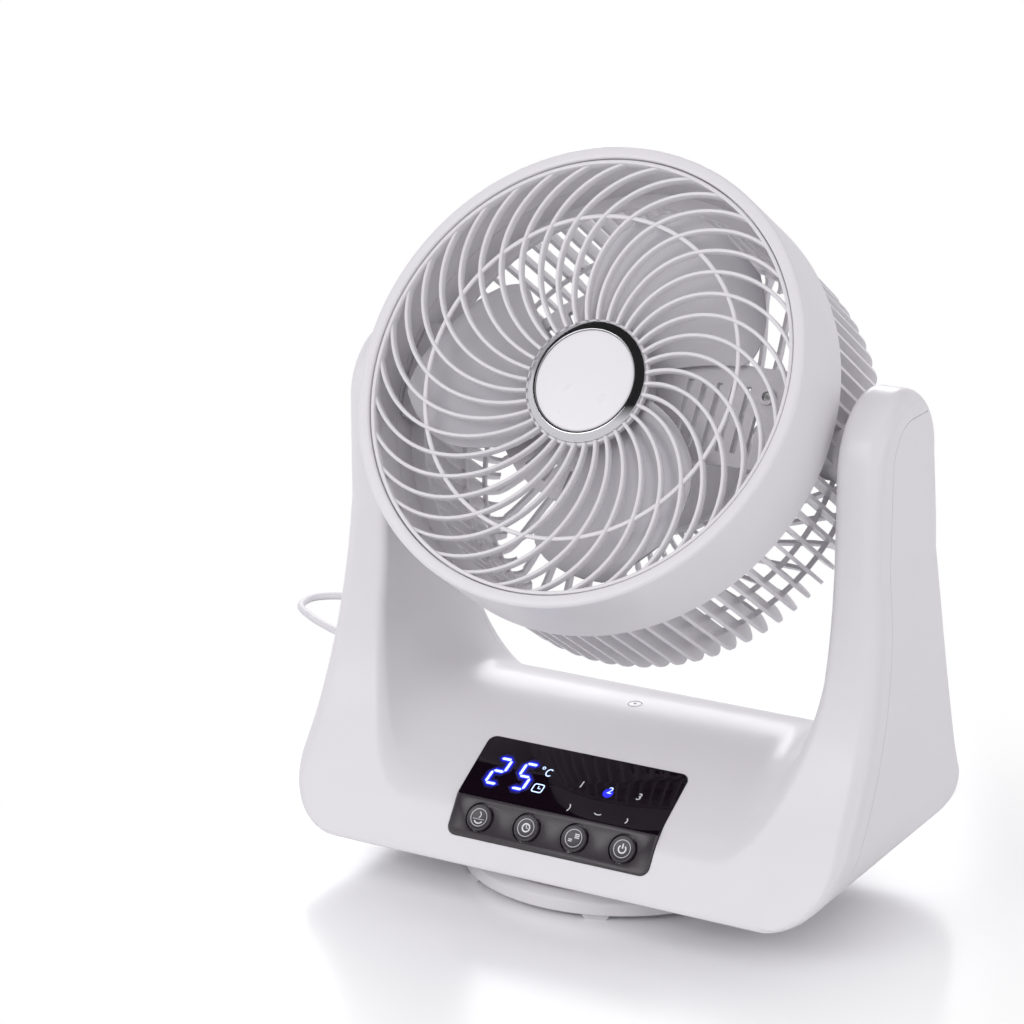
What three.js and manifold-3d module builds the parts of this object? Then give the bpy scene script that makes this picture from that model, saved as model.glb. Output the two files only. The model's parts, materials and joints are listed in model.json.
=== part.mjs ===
// Desk air circulator: a drum-shaped fan head that tilts in a U-shaped yoke, which swivels on a round foot.
// Millimetres, +Z up, front towards -Y. The origin lies on the table, on the swivel axis.
import * as THREE from 'three';
import { mergeVertices } from 'three/addons/utils/BufferGeometryUtils.js';
import Module from 'manifold-3d';

const wasm = await Module();
wasm.setup();

const DEG = Math.PI / 180;

// ---------------------------------------------------------------- driving dimensions
const GAP = 0.3; // clearance between pieces that seat on each other
const RUN = 0.35; // radial clearance of turning pieces
const LARGE_ROUND = 48; // facets of the big circles
const ROUND = 24;
const BORE_ROUND = 16; // shafts and the bores they run in
const SMALL_ROUND = 12;
const SLIVER = 0.01; // facets thinner than this are merged away after a boolean

// foot
const PAD_HEIGHT = 2.6;
const PAD_COUNT = 6;
const PAD_LENGTH = 15;
const PAD_WIDTH = 8;
const FIRST_PAD_ANGLE = -70.5;
const FOOT_RADIUS = 86.3;
const FOOT_HEIGHT = 11;
const FOOT_RIM = 11; // width of the solid rim
const FOOT_SKIN = 3;
const SPINDLE_RADIUS = 9;
const SPINDLE_BORE = 5.5;
const CLIP_RADIUS = 15;
const CLIP_THICKNESS = 1.6;
const GLIDE_RADIUS = 58;
const GLIDE_WIDTH = 9;
const GLIDE_HEIGHT = 4.6;

// yoke, side view
const PIVOT_Y = 12;
const PIVOT_Z = 244.7;
const ARM_TOP_RADIUS = 37.5;
const BAND_ANGLE = 33.3; // lean of the front band from the vertical, degrees
const FRONT_BLEND_RADIUS = 200;
const FRONT_FOOT_Y = -92.5;
const REAR_Y = 84.7;
const REAR_Z = 57;
const REAR_FLARE_Z = 205;
const REAR_CORNER = 16;
// yoke, front view
const ARM_INNER = 133.5;
const ARM_OUTER = 158.5;
const BASE_HALF_WIDTH = 164.5;
const BASE_WIDEST_Z = 75;
const FLARE_TOP_Z = 190;
const BASE_CORNER = 38;
const DISH_EDGE_Z = 51; // front edge of the dish, where the band ends
const DISH_ANGLE = 30.3;
const DISH_FLAT = 46; // straight run of the dish up from its front edge
const DISH_CREST_RADIUS = 95;
const DISH_CORNER_WIDTH = 40;
const DISH_CORNER_HEIGHT = 59;
// yoke shells
const SEAM_SETBACK = 17; // the seam on the arm's outer side, behind the front face
const SEAM_X = 146;
const REAR_WALL_Y = 62;
const SHELL_WALL = 5;
const CAVITY_HALF_WIDTH = 118;
const COVER_THICKNESS = 3;
const SCREW_RADIUS = 1.5;
const SCREW_HEAD = 3;
const SCREW_POST = 5;
const SCREW_DEPTH = 9;

// infrared window on the crest of the dish
const WINDOW_X = 3;
const WINDOW_Y = 10;
const WINDOW_RADIUS = 3.8;
const WINDOW_FLANGE_DROP = 3.2; // keeps the flange below the sloping ceiling

// control panel
const PANEL_HALF_WIDTH = 60.5;
const PANEL_CORNER = 5;
const LENS_LENGTH = 41.4;
const STRIP_LENGTH = 22.5;
const PANEL_THICKNESS = 2.4;
const PANEL_PROUD = 0.6;
const BUTTON_COUNT = 4;
const BUTTON_RADIUS = 7.7;
const BUTTON_PITCH = 28.8;
const BUTTON_DROP = 11; // button centre below the bend of the panel
const BUTTON_PROUD = 1.8;
const BUTTON_TRAVEL = 1.2;
const FLANGE_THICKNESS = 1.2;
const BOARD_THICKNESS = 1.6;

// head
const HEAD_TILT = 32.7;
const PIVOT_DEPTH = 78; // pivot behind the ring's front plane
const RING_RADIUS = 125;
const RING_INNER = 118.5;
const DRUM_RADIUS = 126.1;
const DRUM_DEPTH = 50;
const DRUM_SKIN = 3.5;
const DUCT_SEAM = 33;
const LIP_DEPTH = 1;

// front grille
const RIB_COUNT = 36;
const RIB_WIDTH = 2;
const RIB_HEIGHT = 4.4;
const RIB_SWEEP_RADIUS = 57;
const FIRST_RIB_ANGLE = 5.6;
const HOOP_LAG = 19.3; // how far a rib has swept, in degrees, where it meets the hoop
const RIM_LAG = 39; // and where it meets the rim
const RIB_DEPTH = 3;
const GRILLE_DISH = 10.4; // how far the ribs dip from the rim to the hub
const GRILLE_FLAT_RADIUS = 92;
const HOOP_RADIUS = 87.6;
const HOOP_WIDTH = 2.2;
const BADGE_RADIUS = 33.1;
const BADGE_DEPTH = 14.9;
const BADGE_DISC_RADIUS = 27.6;
const BADGE_RISE = 2.7;
const HUB_RADIUS = 34.6;
const HUB_THICKNESS = 3.6;

// rear cage
const FIN_COUNT = 48;
const FIN_THICKNESS = 2;
const FIN_HEIGHT = 12;
const CAGE_RADIUS = 122.9;
const CAGE_DEPTH = 139.4;
const CAGE_FRAME = 3.5;
const CAGE_HUB_RADIUS = 44;
const SHOULDER_END = 108; // radius where the side ribs have come round to the rear face
const SWIRL_SWEEP = 34; // degrees from the hub to the shoulder

// fan and motor
const BLADE_COUNT = 3;
const FIRST_BLADE_ANGLE = 75;
const BLADE_TIP = 103;
const BLADE_THICKNESS = 1.8;
const BLADE_EDGE_SHARE = 0.6; // thickness of a blade's edges as a share of its middle
const FAN_HUB_RADIUS = 31;
const FAN_HUB_FRONT = 23;
const FAN_HUB_REAR = 34.5;
const FAN_HUB_ROUND = 28;
const MOUNT_DEPTH = 37;
const MOUNT_THICKNESS = 3.5;
const MOUNT_DISC = 60;
const MOUNT_ARM = 54;
const SLOT_PITCH = 8.3;
const SLOT_COUNT = 6;
const FIRST_SLOT_X = 46.7;
const ROUND_SLOTS = 24; // positions of the short slots round the mount's disc
const MOTOR_RADIUS = 37;
const MOTOR_LENGTH = 48;
const SHAFT_RADIUS = 4;
const SHAFT_SEAT = 12; // how deep the shaft reaches into the motor
const NUT_RADIUS = 9;
const NUT_HEIGHT = 2;
const BOSS_RADIUS = 92;
const BOSS_ANGLE = 7.4;

// tilt bearings and drive
const PIVOT_RADIUS = 8;
const BUSH_WALL = 3;
const BOSS_REACH = 131.5;
const ARM_WALL = 5.5;
const TILT_MODULE = 1.25;
const TILT_GEAR_TEETH = 28;
const TILT_SECTOR_TEETH = 12; // teeth that the head's sector has
const TILT_SECTOR_FIRST = 5; // the sector starts this many teeth before the one that meets the pinion at rest
const TILT_PINION_TEETH = 10;
const TILT_HUB_RADIUS = 11.5;
const TILT_MOTOR_RADIUS = 19;
const TILT_DRIVE_ANGLE = -60; // direction from the pivot to the pinion in the side view

// swing drive
const SWING_MODULE = 2;
const SWING_GEAR_TEETH = 36;
const SWING_PINION_TEETH = 9;
const SWING_MOTOR_RADIUS = 19;
const SWING_MOTOR_HEIGHT = 16;
const SWING_GEAR_Z = 40;
const GEAR_WIDTH = 6;

// supply cord
const CORD_RADIUS = 2.5;
const RELIEF_LENGTH = 28;
const RELIEF_NECK = 3.7; // radius where it passes through the foot's rim
const RELIEF_FLANGE = 5.1;
const RELIEF_Z = 7.6;
const COIL_TURNS = 3;
const COIL_RADIUS = 36;
const COIL_PITCH = 6.2;
const COIL_LAYER = 5.9;
const COIL_TAIL = 24;
const COIL_X = 26;
const COIL_Y = 158;
const COIL_LIFT = 0.6;

// ---------------------------------------------------------------- solids
function weld(geometry) {
  const bare = geometry.index ? geometry.toNonIndexed() : geometry.clone();
  for (const name of Object.keys(bare.attributes)) if (name !== 'position') bare.deleteAttribute(name);
  const merged = mergeVertices(bare, 1e-4);
  const index = merged.index.array;
  const kept = [];
  for (let i = 0; i < index.length; i += 3) {
    const [a, b, c] = [index[i], index[i + 1], index[i + 2]];
    if (a !== b && b !== c && c !== a) kept.push(a, b, c);
  }
  if (signedVolume(merged.attributes.position, kept) < 0) kept.reverse();
  merged.setIndex(kept);
  return merged;
}

function signedVolume(position, index) {
  const [a, b, c] = [new THREE.Vector3(), new THREE.Vector3(), new THREE.Vector3()];
  let sum = 0;
  for (let i = 0; i < index.length; i += 3) {
    a.fromBufferAttribute(position, index[i]);
    b.fromBufferAttribute(position, index[i + 1]);
    c.fromBufferAttribute(position, index[i + 2]);
    sum += a.dot(b.cross(c));
  }
  return sum;
}

function solid(geometry) {
  const bare = weld(geometry);
  const mesh = new wasm.Mesh({
    numProp: 3,
    vertProperties: new Float32Array(bare.attributes.position.array),
    triVerts: new Uint32Array(bare.index.array),
  });
  return new wasm.Manifold(mesh);
}

// Back from a boolean to a mesh, without the slivers that crossing facets leave.
function unpack(manifold) {
  const mesh = manifold.simplify(SLIVER).getMesh();
  const geometry = new THREE.BufferGeometry();
  geometry.setAttribute('position', new THREE.BufferAttribute(new Float32Array(mesh.vertProperties), 3));
  geometry.setIndex(new THREE.BufferAttribute(new Uint32Array(mesh.triVerts), 1));
  return geometry;
}

const join = (...shapes) => unpack(shapes.map(solid).reduce((a, b) => a.add(b)));
const cut = (base, ...tools) => unpack(tools.map(solid).reduce((a, b) => a.subtract(b), solid(base)));
const common = (...shapes) => unpack(shapes.map(solid).reduce((a, b) => a.intersect(b)));

const outline = (points) => new THREE.Shape(points.map(([x, y]) => new THREE.Vector2(x, y)));

// A (radius, height) loop turned about Z. It is closed here unless both its ends lie on the axis.
function turned(loop, segments = ROUND) {
  const onAxis = loop[0][0] === 0 && loop[loop.length - 1][0] === 0;
  const points = (onAxis ? loop : [...loop, loop[0]]).map(([r, z]) => new THREE.Vector2(r, z));
  return weld(new THREE.LatheGeometry(points, segments).rotateX(Math.PI / 2));
}

const disc = (radius, z0, z1, segments = SMALL_ROUND) =>
  turned([[0, z0], [radius, z0], [radius, z1], [0, z1]], segments);
const ring = (inner, outer, z0, z1, segments = ROUND) =>
  turned([[inner, z0], [outer, z0], [outer, z1], [inner, z1]], segments);

function extruded(shape, z0, z1, curveSegments = 12) {
  const geometry = new THREE.ExtrudeGeometry(shape, { depth: z1 - z0, bevelEnabled: false, curveSegments });
  return geometry.translate(0, 0, z0);
}

// An outline in (y, z) extruded along X.
function alongX(shape, x0, x1, curveSegments = 12) {
  const basis = new THREE.Matrix4().makeBasis(
    new THREE.Vector3(0, 1, 0), new THREE.Vector3(0, 0, 1), new THREE.Vector3(1, 0, 0));
  return extruded(shape, x0, x1, curveSegments).applyMatrix4(basis);
}

// An outline in (x, z) extruded along Y.
function alongY(shape, y0, y1, curveSegments = 12) {
  const basis = new THREE.Matrix4().makeBasis(
    new THREE.Vector3(1, 0, 0), new THREE.Vector3(0, 0, 1), new THREE.Vector3(0, -1, 0));
  return extruded(shape, -y1, -y0, curveSegments).applyMatrix4(basis);
}

function box(x0, x1, y0, y1, z0, z1) {
  const geometry = new THREE.BoxGeometry(x1 - x0, y1 - y0, z1 - z0);
  return geometry.translate((x0 + x1) / 2, (y0 + y1) / 2, (z0 + z1) / 2);
}

// A cylinder along X through (y, z).
const barX = (radius, x0, x1, y = 0, z = 0, segments = BORE_ROUND) =>
  disc(radius, x0, x1, segments).rotateY(Math.PI / 2).translate(0, y, z);
const tubeX = (inner, outer, x0, x1, y = 0, z = 0, segments = BORE_ROUND) =>
  ring(inner, outer, x0, x1, segments).rotateY(Math.PI / 2).translate(0, y, z);

// A skin through sections of equal point count, closed by a flat cap at each end.
function loft(sections) {
  const count = sections[0].length;
  const positions = sections.flat().flatMap((p) => [p.x, p.y, p.z]);
  const index = [];
  for (let s = 0; s + 1 < sections.length; s++) {
    for (let i = 0; i < count; i++) {
      const a = s * count + i;
      const b = s * count + (i + 1) % count;
      index.push(a, b, b + count, a, b + count, a + count);
    }
  }
  const last = (sections.length - 1) * count;
  for (const [a, b, c] of capTriangles(sections[0])) index.push(c, b, a);
  const end = sections[sections.length - 1];
  for (const [a, b, c] of capTriangles(end)) index.push(last + a, last + b, last + c);
  const geometry = new THREE.BufferGeometry();
  geometry.setAttribute('position', new THREE.Float32BufferAttribute(positions, 3));
  geometry.setIndex(index);
  return geometry;
}

function capTriangles(section) {
  const normal = new THREE.Vector3();
  section.forEach((p, i) => normal.add(p.clone().cross(section[(i + 1) % section.length])));
  normal.normalize();
  const u = section[1].clone().sub(section[0]).projectOnPlane(normal).normalize();
  const v = normal.clone().cross(u);
  const flat = section.map((p) => new THREE.Vector2(p.dot(u), p.dot(v)));
  return THREE.ShapeUtils.triangulateShape(flat, []);
}

function roundedRect(halfWidth, low, high, radius) {
  const shape = new THREE.Shape();
  shape.moveTo(-halfWidth + radius, low);
  shape.lineTo(halfWidth - radius, low);
  shape.absarc(halfWidth - radius, low + radius, radius, -Math.PI / 2, 0);
  shape.lineTo(halfWidth, high - radius);
  shape.absarc(halfWidth - radius, high - radius, radius, 0, Math.PI / 2);
  shape.lineTo(-halfWidth + radius, high);
  shape.absarc(-halfWidth + radius, high - radius, radius, Math.PI / 2, Math.PI);
  shape.lineTo(-halfWidth, low + radius);
  shape.absarc(-halfWidth + radius, low + radius, radius, Math.PI, Math.PI * 1.5);
  return shape;
}

// The outline of straight-flanked gear teeth, all the way round or from a first tooth over a count of them.
function gearOutline(teeth, module, first = 0, count = teeth) {
  const pitchRadius = (teeth * module) / 2;
  const tip = pitchRadius + 0.85 * module;
  const root = pitchRadius - 1.15 * module;
  const step = (2 * Math.PI) / teeth;
  const points = [];
  for (let i = 0; i < count; i++) {
    const centre = first + i * step;
    for (const [radius, half] of [[root, 0.33], [tip, 0.12]]) points.push([radius, centre - half * step]);
    for (const [radius, half] of [[tip, 0.12], [root, 0.33]]) points.push([radius, centre + half * step]);
  }
  return points.map(([r, a]) => [r * Math.cos(a), r * Math.sin(a)]);
}

// ---------------------------------------------------------------- scene graph
const model = new THREE.Group();

const PLASTIC = { color: 0xe9e7ec, roughness: 0.42, metalness: 0 };
const INNER_PLASTIC = { color: 0xd3d0d8, roughness: 0.5, metalness: 0 };
const STEEL = { color: 0xb9bcc0, roughness: 0.3, metalness: 0.9 };
const NYLON = { color: 0xf2f1ea, roughness: 0.5, metalness: 0 };
const RUBBER = { color: 0x2b2b2d, roughness: 0.85, metalness: 0 };
const BOARD = { color: 0x1f6b45, roughness: 0.5, metalness: 0 };
const GLOSS_BLACK = { color: 0x0d0a12, roughness: 0.08, metalness: 0 };
const SOFT_BLACK = { color: 0x332f36, roughness: 0.35, metalness: 0 };
const CHROME = { color: 0xd8d8da, roughness: 0.06, metalness: 1 };
const CORD_PLASTIC = { color: 0xe4e3e6, roughness: 0.55, metalness: 0 };

function add(name, geometry, look, group = model) {
  const mesh = new THREE.Mesh(weld(geometry), new THREE.MeshStandardMaterial(look));
  mesh.name = name;
  group.add(mesh);
}

// ---------------------------------------------------------------- levels that follow from the sizes
const footTop = PAD_HEIGHT + FOOT_HEIGHT;
const yokeBottom = footTop + GLIDE_HEIGHT + 2 * GAP;
const coverTop = yokeBottom + COVER_THICKNESS;
const clipBottom = coverTop + GAP;
const screwSeat = yokeBottom + 1.8;
const boardZ = coverTop + 6;
const spindleTop = SWING_GEAR_Z + GEAR_WIDTH + 3;

// places in the base, (x, y)
const boardPosts = [[-104, -18], [-48, -18], [-104, 38], [-48, 38]];
const coverScrews = [[-110, -55], [110, -55], [-110, 52], [110, 52]];

// ---------------------------------------------------------------- foot
function makeFoot() {
  const z0 = PAD_HEIGHT;
  const bore = SPINDLE_RADIUS + GAP;
  const cavityTop = footTop - FOOT_SKIN;
  const plate = turned([
    [bore, z0 + 4.4], [26, z0 + 4.4], [29, cavityTop], [FOOT_RADIUS - FOOT_RIM, cavityTop],
    [FOOT_RADIUS - FOOT_RIM, z0], [FOOT_RADIUS, z0],
    [FOOT_RADIUS, z0 + 6.8], [FOOT_RADIUS - 4.5, footTop], [bore, footTop],
  ], LARGE_ROUND);
  const cordHole = disc(RELIEF_NECK + GAP, 60, 100, 16).rotateX(-Math.PI / 2).translate(0, 0, RELIEF_Z);
  add('foot_plate', cut(plate, cordHole), PLASTIC);

  const padRadius = FOOT_RADIUS - FOOT_RIM / 2;
  for (let i = 0; i < PAD_COUNT; i++) {
    const angle = FIRST_PAD_ANGLE + (360 / PAD_COUNT) * i;
    add(`foot_pad_${i + 1}`, makePad().translate(padRadius, 0, 0).rotateZ(angle * DEG), RUBBER);
  }

  add('swivel_spindle', turned([
    [SPINDLE_BORE, z0 + 1.2], [SPINDLE_RADIUS + 4, z0 + 1.2], [SPINDLE_RADIUS + 4, z0 + 4.4 - GAP],
    [SPINDLE_RADIUS, z0 + 4.4 - GAP], [SPINDLE_RADIUS, spindleTop], [SPINDLE_BORE, spindleTop],
  ], BORE_ROUND), STEEL);
  add('swivel_glide_ring', ring(GLIDE_RADIUS - GLIDE_WIDTH, GLIDE_RADIUS, footTop + GAP,
    footTop + GAP + GLIDE_HEIGHT), NYLON);
  const clip = ring(SPINDLE_RADIUS + GAP, CLIP_RADIUS, clipBottom, clipBottom + CLIP_THICKNESS, BORE_ROUND);
  add('spindle_clip', clip, STEEL);
}

function makePad() {
  const top = PAD_LENGTH / 2;
  const shape = outline([[-top + 2, 0], [top - 2, 0], [top, PAD_HEIGHT - GAP], [-top, PAD_HEIGHT - GAP]]);
  return alongX(shape, -PAD_WIDTH / 2, PAD_WIDTH / 2);
}

// ---------------------------------------------------------------- yoke form
const bandSlope = Math.tan(BAND_ANGLE * DEG);
const frontY = PIVOT_Y - ARM_TOP_RADIUS;

function sidePath(path, inset = 0) {
  const blend = FRONT_BLEND_RADIUS + inset;
  const run = blend * Math.tan((BAND_ANGLE / 2) * DEG);
  const front = frontY + inset;
  const foot = FRONT_FOOT_Y + inset / Math.cos(BAND_ANGLE * DEG);
  const bendZ = yokeBottom + (front - foot) / bandSlope;
  const lowZ = bendZ - run * Math.cos(BAND_ANGLE * DEG);
  const lowY = front - run * Math.sin(BAND_ANGLE * DEG);
  path.moveTo(foot + 4, yokeBottom);
  path.lineTo(foot + 2.5 * bandSlope, yokeBottom + 2.5);
  path.lineTo(lowY, lowZ);
  path.absarc(front - blend, bendZ + run, blend, -BAND_ANGLE * DEG, 0);
  path.lineTo(front, PIVOT_Z);
  return { front, lowY, lowZ };
}

function yokeSide() {
  const path = new THREE.Shape();
  sidePath(path);
  path.absarc(PIVOT_Y, PIVOT_Z, ARM_TOP_RADIUS, Math.PI, 0, true);
  path.lineTo(PIVOT_Y + ARM_TOP_RADIUS + 6, REAR_FLARE_Z);
  path.quadraticCurveTo(PIVOT_Y + ARM_TOP_RADIUS + 10.5, REAR_Z + 63, REAR_Y, REAR_Z);
  path.quadraticCurveTo(REAR_Y + 1, yokeBottom + REAR_CORNER * 0.6, REAR_Y - REAR_CORNER, yokeBottom);
  return path;
}

// Everything behind the seam on the arm's outer side.
function seamSide(margin) {
  const inset = SEAM_SETBACK - margin;
  const path = new THREE.Shape();
  sidePath(path, inset);
  const radius = ARM_TOP_RADIUS - SEAM_SETBACK + 2 + margin;
  path.lineTo(PIVOT_Y - ARM_TOP_RADIUS + inset, PIVOT_Z);
  path.absarc(PIVOT_Y - ARM_TOP_RADIUS + inset + radius, PIVOT_Z, radius, Math.PI, Math.PI / 2, true);
  path.lineTo(PIVOT_Y + 100, PIVOT_Z + radius);
  path.lineTo(PIVOT_Y + 100, yokeBottom - 5);
  path.lineTo(-70, yokeBottom - 5);
  return path;
}

function yokeFront() {
  const path = new THREE.Shape();
  const top = PIVOT_Z + ARM_TOP_RADIUS + 5;
  path.moveTo(-BASE_HALF_WIDTH + BASE_CORNER, yokeBottom);
  path.lineTo(BASE_HALF_WIDTH - BASE_CORNER, yokeBottom);
  path.absarc(BASE_HALF_WIDTH - BASE_CORNER, yokeBottom + BASE_CORNER, BASE_CORNER, -Math.PI / 2, 0);
  path.quadraticCurveTo(BASE_HALF_WIDTH, BASE_WIDEST_Z + 55, ARM_OUTER, FLARE_TOP_Z);
  path.lineTo(ARM_OUTER, top);
  path.lineTo(-ARM_OUTER, top);
  path.lineTo(-ARM_OUTER, FLARE_TOP_Z);
  path.quadraticCurveTo(-BASE_HALF_WIDTH, BASE_WIDEST_Z + 55, -BASE_HALF_WIDTH, yokeBottom + BASE_CORNER);
  path.absarc(-BASE_HALF_WIDTH + BASE_CORNER, yokeBottom + BASE_CORNER, BASE_CORNER, Math.PI, Math.PI * 1.5);
  return path;
}

const dishEdgeY = FRONT_FOOT_Y + (DISH_EDGE_Z - yokeBottom) * bandSlope;
const dishArcY = dishEdgeY + DISH_FLAT * Math.cos(DISH_ANGLE * DEG);
const dishArcZ = DISH_EDGE_Z + DISH_FLAT * Math.sin(DISH_ANGLE * DEG);
const crestY = dishArcY + DISH_CREST_RADIUS * Math.sin(DISH_ANGLE * DEG);
const crestCentreZ = dishArcZ - DISH_CREST_RADIUS * Math.cos(DISH_ANGLE * DEG);

// Height of the dish's middle at a given y.
function dishTop(y) {
  if (y <= dishEdgeY) return DISH_EDGE_Z;
  if (y <= dishArcY) return DISH_EDGE_Z + (y - dishEdgeY) * Math.tan(DISH_ANGLE * DEG);
  return crestCentreZ + Math.sqrt(DISH_CREST_RADIUS ** 2 - (y - crestY) ** 2);
}

// The space between the arms: a U-shaped section that climbs with the dish.
function dishSpace() {
  const corner = new THREE.CubicBezierCurve(
    new THREE.Vector2(ARM_INNER - 1.5, DISH_CORNER_HEIGHT),
    new THREE.Vector2(ARM_INNER - 3, DISH_CORNER_HEIGHT * 0.58),
    new THREE.Vector2(ARM_INNER - 17, 0),
    new THREE.Vector2(ARM_INNER - DISH_CORNER_WIDTH - 1.5, 0));
  const rounding = corner.getPoints(5).map((p) => [p.x, p.y]);
  const half = [[ARM_INNER, 340], [ARM_INNER, 165 - DISH_EDGE_Z], ...rounding];
  const loop = [...half, ...half.map(([x, z]) => [-x, z]).reverse()];
  const stations = [-125, dishEdgeY, dishArcY];
  for (let y = dishArcY + 18; y < REAR_Y + 16; y += 18) stations.push(y);
  return loft(stations.map((y) => loop.map(([x, z]) =>
    new THREE.Vector3(x, y, z > 300 ? z : dishTop(y) + z))));
}

const cavitySetback = 1.35 * SHELL_WALL / Math.cos(BAND_ANGLE * DEG);
const cavityFront = FRONT_FOOT_Y + cavitySetback;

function yokeCavity() {
  const inner = SHELL_WALL;
  const drop = inner / Math.cos(DISH_ANGLE * DEG);
  const shape = new THREE.Shape();
  const low = cavityFront;
  const edge = dishEdgeY + cavitySetback - 1.4;
  shape.moveTo(low, yokeBottom - 1);
  shape.lineTo(edge, dishTop(edge) - drop - 0.5);
  shape.lineTo(dishArcY, dishArcZ - drop);
  shape.lineTo(crestY, dishTop(crestY) - inner);
  shape.lineTo(REAR_WALL_Y - 10, dishTop(REAR_WALL_Y - 10) - inner);
  shape.lineTo(REAR_WALL_Y + 12, dishTop(REAR_WALL_Y + 12) - inner - 3);
  shape.lineTo(REAR_WALL_Y + 12, 40);
  shape.lineTo(REAR_WALL_Y + 4, yokeBottom - 1);
  const screwPosts = coverScrews.map(([x, y]) => cut(
    disc(SCREW_POST, coverTop + GAP, 120, 8), disc(SCREW_RADIUS + GAP, 0, coverTop + SCREW_DEPTH, 6),
  ).translate(x, y, 0));
  return cut(alongX(shape, -CAVITY_HALF_WIDTH, CAVITY_HALF_WIDTH), ...screwPosts);
}

// The part of the yoke that the rear shell takes: the arms' outer sides and the rear wall.
function rearZone(margin) {
  const behindSeam = alongX(seamSide(margin), -200, 200, 6);
  const reach = [
    box(-200, -SEAM_X + margin, -120, 150, 0, 320),
    box(SEAM_X - margin, 200, -120, 150, 0, 320),
    box(-200, 200, REAR_WALL_Y - margin, 150, 0, DISH_EDGE_Z * 2),
  ];
  return common(behindSeam, join(...reach));
}

// ---------------------------------------------------------------- control panel places
const bandDown = new THREE.Vector3(0, -Math.sin(BAND_ANGLE * DEG), -Math.cos(BAND_ANGLE * DEG));
const bandOut = new THREE.Vector3(0, -Math.cos(BAND_ANGLE * DEG), Math.sin(BAND_ANGLE * DEG));
const dishUp = new THREE.Vector3(0, Math.cos(DISH_ANGLE * DEG), Math.sin(DISH_ANGLE * DEG));
const dishOut = new THREE.Vector3(0, -Math.sin(DISH_ANGLE * DEG), Math.cos(DISH_ANGLE * DEG));
const panelBend = new THREE.Vector3(0, dishEdgeY, DISH_EDGE_Z);
const xAxis = new THREE.Vector3(1, 0, 0);
const halfBend = (90 - DISH_ANGLE - BAND_ANGLE) / 2 * DEG; // half the turn between dish and band

// Local X stays X, local Y runs away from the bend, local Z stands out of the surface.
const onDish = (geometry) => geometry.applyMatrix4(
  new THREE.Matrix4().makeBasis(xAxis, dishUp, dishOut).setPosition(panelBend));
const onBand = (geometry) => geometry.applyMatrix4(
  new THREE.Matrix4().makeBasis(xAxis.clone().negate(), bandDown, bandOut).setPosition(panelBend));

// A slab of the panel on one side of the bend, mitred there, with its two far corners rounded.
function panelSlab(length, halfWidth, low, high, corner, setback) {
  const mitre = (h) => setback - h * Math.tan(halfBend);
  const profile = outline([[mitre(low), low], [length, low], [length, high], [mitre(high), high]]);
  const slab = alongX(profile, -halfWidth, halfWidth);
  const plan = extruded(roundedRect(halfWidth, -20, length, corner), low - 1, high + 1, 4);
  return common(slab, plan);
}

const buttonBottom = -PANEL_THICKNESS - GAP - FLANGE_THICKNESS;
const buttonX = (i) => (i - (BUTTON_COUNT - 1) / 2) * BUTTON_PITCH;

function panelPocket() {
  const side = PANEL_HALF_WIDTH + GAP;
  const bottom = -PANEL_THICKNESS - GAP;
  return [
    onDish(panelSlab(LENS_LENGTH + GAP, side, bottom, 6, PANEL_CORNER + GAP, -0.02)),
    onBand(panelSlab(STRIP_LENGTH + GAP, side, bottom, 6, PANEL_CORNER + GAP, -0.02)),
    onDish(box(-46, 46, 9, 35, -12, 0)),
    onBand(box(-54, 54, 1.2, 20, -14, 0)),
  ];
}

// ---------------------------------------------------------------- yoke shells
const tiltGearDistance = gearDistance(TILT_GEAR_TEETH, TILT_PINION_TEETH, TILT_MODULE);
const pinionY = PIVOT_Y + tiltGearDistance * Math.cos(TILT_DRIVE_ANGLE * DEG);
const pinionZ = PIVOT_Z + tiltGearDistance * Math.sin(TILT_DRIVE_ANGLE * DEG);
const gearX = ARM_INNER + ARM_WALL + 1;
const tiltMotorX = gearX + GEAR_WIDTH + 1;
const pocketEnd = ARM_OUTER - 3;

function gearDistance(a, b, module) {
  return ((a + b) * module) / 2 + 0.15;
}

function armHoles() {
  const bush = PIVOT_RADIUS + RUN + BUSH_WALL + GAP;
  const gearTip = (TILT_GEAR_TEETH / 2 + 0.85) * TILT_MODULE + 1;
  const inside = ARM_INNER + ARM_WALL;
  return [
    barX(bush, ARM_INNER - 2, inside + 0.1, PIVOT_Y, PIVOT_Z),
    barX(gearTip, inside, gearX + GEAR_WIDTH + 0.5, PIVOT_Y, PIVOT_Z, 28),
    barX(TILT_MOTOR_RADIUS + GAP, inside, pocketEnd, pinionY, pinionZ, 28),
    barX(bush, -inside - 0.1, -ARM_INNER + 2, PIVOT_Y, PIVOT_Z),
    barX(PIVOT_RADIUS + 1, -inside - 6, -inside, PIVOT_Y, PIVOT_Z),
  ];
}

function makeYoke() {
  const whole = common(alongX(yokeSide(), -200, 200, 7), alongY(yokeFront(), -140, 140, 4));
  const windowHole = disc(WINDOW_RADIUS + GAP, 60, 100).translate(WINDOW_X, WINDOW_Y, 0);
  const yoke = cut(whole, dishSpace(), yokeCavity(), windowHole, ...panelPocket(), ...armHoles());
  add('yoke_front_shell', cut(yoke, rearZone(GAP)), PLASTIC);
  add('yoke_rear_shell', common(yoke, rearZone(0)), PLASTIC);
  makeBottomCover();
  makeWindow();
}

function makeWindow() {
  const top = dishTop(WINDOW_Y);
  const flange = top - SHELL_WALL - WINDOW_FLANGE_DROP;
  const flangeRadius = WINDOW_RADIUS + 1.6;
  add('ir_window', turned([
    [0, flange - 1.5], [flangeRadius, flange - 1.5], [flangeRadius, flange],
    [WINDOW_RADIUS, flange], [WINDOW_RADIUS, top], [0, top + 0.3],
  ], SMALL_ROUND).translate(WINDOW_X, WINDOW_Y, 0), GLOSS_BLACK);
}

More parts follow.
